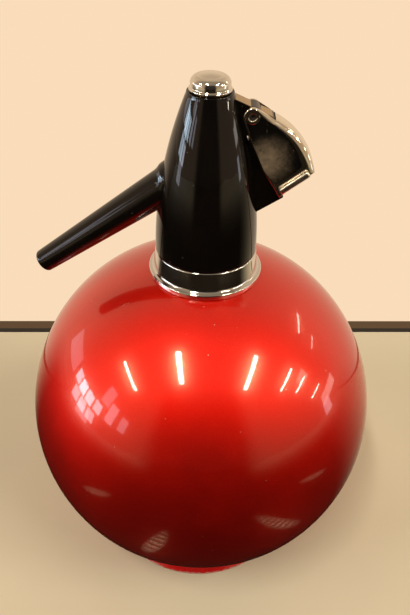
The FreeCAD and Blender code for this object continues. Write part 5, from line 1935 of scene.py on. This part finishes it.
@dataclass
class Stage:
    """The table, the room, the lamps and the camera, in metres and degrees.

    Attributes:
        far_edge: Y of the table's far edge.
        skew: How far the table is turned.
        table_t: Thickness of its top.
        table_wide: Its width.
        table_deep: Its depth.
        groove_t: Depth of the painted shade strip behind it, a near-black strip that stands for the shaded
            gap.
        rail_t: Depth of the rail behind that.
        rail_high: Height of both.
        rail_low: How far they stand under the top.
        table, wall, rail: Paints; groove: painted shade of the gap behind the table.
        mottle: The darker tone of a paint, as a share.
        matt: Roughness of a paint.
        wall_share: How bright the wall is to all but the camera.
        shade: The dark figure in front, as reflections show it.
        side_wall, ceiling: The room in front beside it and above it.
        figure: Sine of the bearing where the dark figure starts to end, and where it has ended.
        shade_sheet: Colour of the painted shade sheet, a black sheet on the table in front that stands for
            shade.
        shade_sheet_side: Length of its sides.
        shade_sheet_at: Its middle.
        shade_sheet_left, shade_sheet_right: Bearings where it has ended, and where it is whole.
        shade_sheet_thin: How much of it is missing at the sides.
        glints: X, Y, half width and half length of each lit patch.
        bar_pitch: Distance between the bars over the patches.
        pitch, roll: How the camera is turned.
        lens, sensor: Its sizes, in millimetres.
        eye: Its place.
        clip: Nearest and farthest thing that it sees.
    """

    far_edge: float = 0.1278
    skew: float = 2.8
    table_t: float = 0.020
    table_wide: float = 3.0
    table_deep: float = 2.0
    groove_t: float = 0.0045
    rail_t: float = 0.0075
    rail_high: float = 0.022
    rail_low: float = 0.0005
    table: Colour = (0.63, 0.575, 0.43)
    wall: Colour = (0.955, 0.716, 0.491)
    rail: Colour = (0.085, 0.048, 0.022)
    groove: Colour = (0.006, 0.004, 0.002)
    mottle: float = 0.94
    matt: float = 0.6
    wall_share: float = 0.85
    shade: Colour = (0.035, 0.028, 0.024)
    side_wall: Colour = (0.44, 0.31, 0.20)
    ceiling: Colour = (0.30, 0.24, 0.17)
    figure: Spot = (0.42, 0.62)
    shade_sheet: Colour = (0.012, 0.010, 0.008)
    shade_sheet_side: float = 3.0
    shade_sheet_at: Corner = (0.0, -0.5, 0.0012)
    shade_sheet_left: Spot = (-130.0, -104.0)
    shade_sheet_right: Spot = (126.0, 75.0)
    shade_sheet_thin: float = 0.6
    glints: tuple[tuple[float, float, float, float], ...] = (
        (-0.122, -0.100, 0.009, 0.028), (-0.031, -0.092, 0.007, 0.030), (0.074, -0.098, 0.009, 0.040),
        (0.178, -0.102, 0.011, 0.034))
    bar_pitch: float = 0.009
    pitch: float = 38.0
    roll: float = 1.797
    lens: float = 39.02
    sensor: float = 36.0
    eye: Corner = (0.00042, -0.20489, 0.28032)
    clip: Spot = (0.01, 30.0)

    def build(self) -> None:
        """Set everything round the siphon."""
        self.floor()
        self.surroundings()
        self.flags()
        self.lamps()
        self.camera()

    def floor(self) -> None:
        """A plain pale table top with a rail along its far edge, and a near-black strip of painted shade for
        the gap between them.
        """
        skew = math.radians(self.skew)
        half = self.table_deep / 2
        middle = (math.sin(skew) * half, self.far_edge - math.cos(skew) * half, -self.table_t / 2)
        self.block("table_top", middle, (self.table_wide, self.table_deep, self.table_t), self.table)
        start, level = self.far_edge, -self.rail_low - self.rail_high / 2
        # Painted shade: a near-black strip stands for the shaded gap between the table and the rail.
        strips = (("rail_gap_painted_shade", self.groove_t, self.groove), ("rail", self.rail_t, self.rail))
        for name, deep, colour in strips:
            self.block(name, (0.0, start + deep / 2, level), (self.table_wide, deep, self.rail_high), colour)
            start += deep

    def block(self, name: str, place: Corner, size: Corner, colour: Colour) -> None:
        """Make a painted block of the table.

        Args:
            name: Its name.
            place: Its middle.
            size: Its sides, before the table's turn.
            colour: Its paint.
        """
        Bench.clear()
        bpy.ops.mesh.primitive_cube_add(size=1.0, location=place, scale=size,
                                        rotation=(0.0, 0.0, math.radians(self.skew)))
        block = bpy.context.object
        block.name = name
        bpy.ops.object.transform_apply(location=True, rotation=True, scale=True)
        block.data.materials.append(self.paint(name + "_paint", colour))

    def paint(self, name: str, colour: Colour) -> bpy.types.Material:
        """A matt paint with a faint mottling.

        Args:
            name: The material's name.
            colour: Its colour.

        Returns:
            The material.
        """
        material, board, place = new_material(name)
        tone = board.spread(board.noise(place, 9.0, 3.0), 0.3, 0.7)
        body = board.blend(tone, colour, tuple(value * self.mottle for value in colour))
        shader = board.add("BsdfPrincipled", {"Base Color": body, "Roughness": self.matt})
        board.add("OutputMaterial", {"Surface": shader.outputs[0]})
        return material

    def aside(self, board: Board, across: Socket, reach: Socket) -> Socket:
        """A mask that is 0 in front and 1 beside the dark figure."""
        share = board.math("DIVIDE", board.math("ABSOLUTE", across), board.math("MAXIMUM", reach, 0.01))
        return board.spread(share, *self.figure)

    def surroundings(self) -> None:
        """The room: a warm wall behind, a lit ceiling, and a dim side in front."""
        world = bpy.data.worlds.new("room")
        bpy.context.scene.world = world
        world.use_nodes = True
        board = Board(world.node_tree)
        across, along, up = board.parts(board.add("TexCoord").outputs["Generated"])
        level = board.length(board.add("CombineXYZ", {0: across, 1: along}).outputs[0])
        front = board.blend(self.aside(board, across, level), self.shade, self.side_wall)
        front = board.blend(board.spread(up, 0.55, 0.85), front, self.ceiling)
        lit = board.times(board.spread(along, 0.0, 0.50), board.spread(up, 0.85, 0.25, 0.60, 1.0))
        room = board.blend(lit, front, tuple(value * self.wall_share for value in self.wall))
        seen = board.blend(board.add("LightPath").outputs["Is Camera Ray"], room, self.wall)
        light = board.add("Background", {"Color": seen, "Strength": 1.0})
        board.add("OutputWorld", {"Surface": light.outputs[0]})

    def flags(self) -> None:
        """Painted shade on the table in front: a black sheet seen only in reflections."""
        Bench.clear()
        bpy.ops.mesh.primitive_plane_add(size=1.0, location=self.shade_sheet_at)
        shade_sheet = bpy.context.object
        shade_sheet.name = "painted_shade_sheet"
        shade_sheet.scale = (self.shade_sheet_side, self.shade_sheet_side, 1.0)
        bpy.ops.object.transform_apply(location=True, rotation=True, scale=True)
        shade_sheet.data.materials.append(self.shade_sheet_material())
        shade_sheet.visible_camera = shade_sheet.visible_diffuse = False
        shade_sheet.visible_shadow = shade_sheet.visible_transmission = False

    def shade_sheet_material(self) -> bpy.types.Material:
        """Painted shade on the table in front: a black sheet that fades out to both sides, with the lit table
        showing through in barred patches.

        Returns:
            The material.
        """
        material, board, place = new_material("shade_sheet")
        across, along, _ = board.parts(place)
        bearing = board.math("ARCTAN2", across, board.math("SUBTRACT", 0.0, along))
        left = board.spread(bearing, *(math.radians(value) for value in self.shade_sheet_left))
        right = board.spread(bearing, *(math.radians(value) for value in self.shade_sheet_right))
        reach = board.length(place)
        far = board.spread(reach, 0.35, 1.1, 0.0, self.shade_sheet_thin)
        thin = board.times(self.aside(board, across, reach), far)
        cover = board.times(board.times(left, right), board.math("SUBTRACT", 1.0, thin))
        wave = board.math("SINE", board.times(along, math.tau / self.bar_pitch))
        bars = board.spread(wave, 0.25, -0.35, 0.0, 0.8)
        # Inside each lit patch the painted shade stays only as bars, as between slats.
        for middle_x, middle_y, half_wide, half_long in self.glints:
            moved = board.vector("SUBTRACT", place, (middle_x, middle_y, 0.0))
            away = board.length(board.vector("MULTIPLY", moved, (1.0 / half_wide, 1.0 / half_long, 0.0)))
            cover = board.times(cover, board.math("MAXIMUM", board.spread(away, 0.45, 1.15), bars))
        # Painted shade: black where the sheet covers the table, seen only in reflections.
        black = board.add("BsdfDiffuse", {"Color": (*self.shade_sheet, 1.0)}).outputs[0]
        clear = board.add("BsdfTransparent").outputs[0]
        both = board.add("MixShader", {0: cover, 1: clear, 2: black})
        board.add("OutputMaterial", {"Surface": both.outputs[0]})
        return material

    @staticmethod
    def lamps() -> None:
        """Strips along the ceiling, and windows low down on both sides."""
        for index, (across, along, wide, length, glow) in enumerate(STRIPS, 1):
            place = Vector((across, along, STRIP_Z))
            Lamp(f"strip_{index}", place, place - Vector((0.0, 0.0, 1.0)), wide, length, glow, WARM).hang()
        for index, (bearing, rise, wide, high, far, glow, colour) in enumerate(PANES, 1):
            turn, lift = math.radians(bearing), math.radians(rise)
            way = Vector((math.sin(turn) * math.cos(lift), -math.cos(turn) * math.cos(lift), math.sin(lift)))
            Lamp(f"pane_{index}", PANES_ROUND + way * far, PANES_ROUND, math.radians(high) * far,
                 math.radians(wide) * far, glow, colour).hang()

    def camera(self) -> None:
        """The camera, tipped down and rolled a little."""
        pitch, roll = math.radians(self.pitch), math.radians(self.roll)
        ahead = Vector((0.0, math.cos(pitch), -math.sin(pitch)))
        right = Vector((1.0, 0.0, 0.0))
        up = right.cross(ahead)
        rolled_right = math.cos(roll) * right + math.sin(roll) * up
        rolled_up = -math.sin(roll) * right + math.cos(roll) * up
        data = bpy.data.cameras.new("camera")
        data.lens = self.lens
        data.sensor_width = self.sensor
        data.clip_start, data.clip_end = self.clip
        camera = bpy.data.objects.new("camera", data)
        bpy.context.scene.collection.objects.link(camera)
        pose = Matrix((rolled_right, rolled_up, -ahead)).transposed().to_4x4()
        pose.translation = Vector(self.eye)
        camera.matrix_world = pose
        bpy.context.scene.camera = camera


def main() -> None:
    """Build the siphon's looks, sub-assembly by sub-assembly."""
    logging.basicConfig(level=logging.INFO, format="%(name)s: %(message)s")
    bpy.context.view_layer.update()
    bpy.context.scene.view_settings.view_transform = "Standard"
    head = Head()
    finishes = Finishes(Effects(), head)
    head.finishes = finishes
    for assembly in (Vessel(finishes), Collar(finishes), head, Valve(finishes), Lever(finishes, head=head),
                     Cap(finishes)):
        assembly.build()
        LOG.info("%s done", type(assembly).__name__)
    Stage().build()
    Bench.clear()


if __name__ == "__main__":
    main()
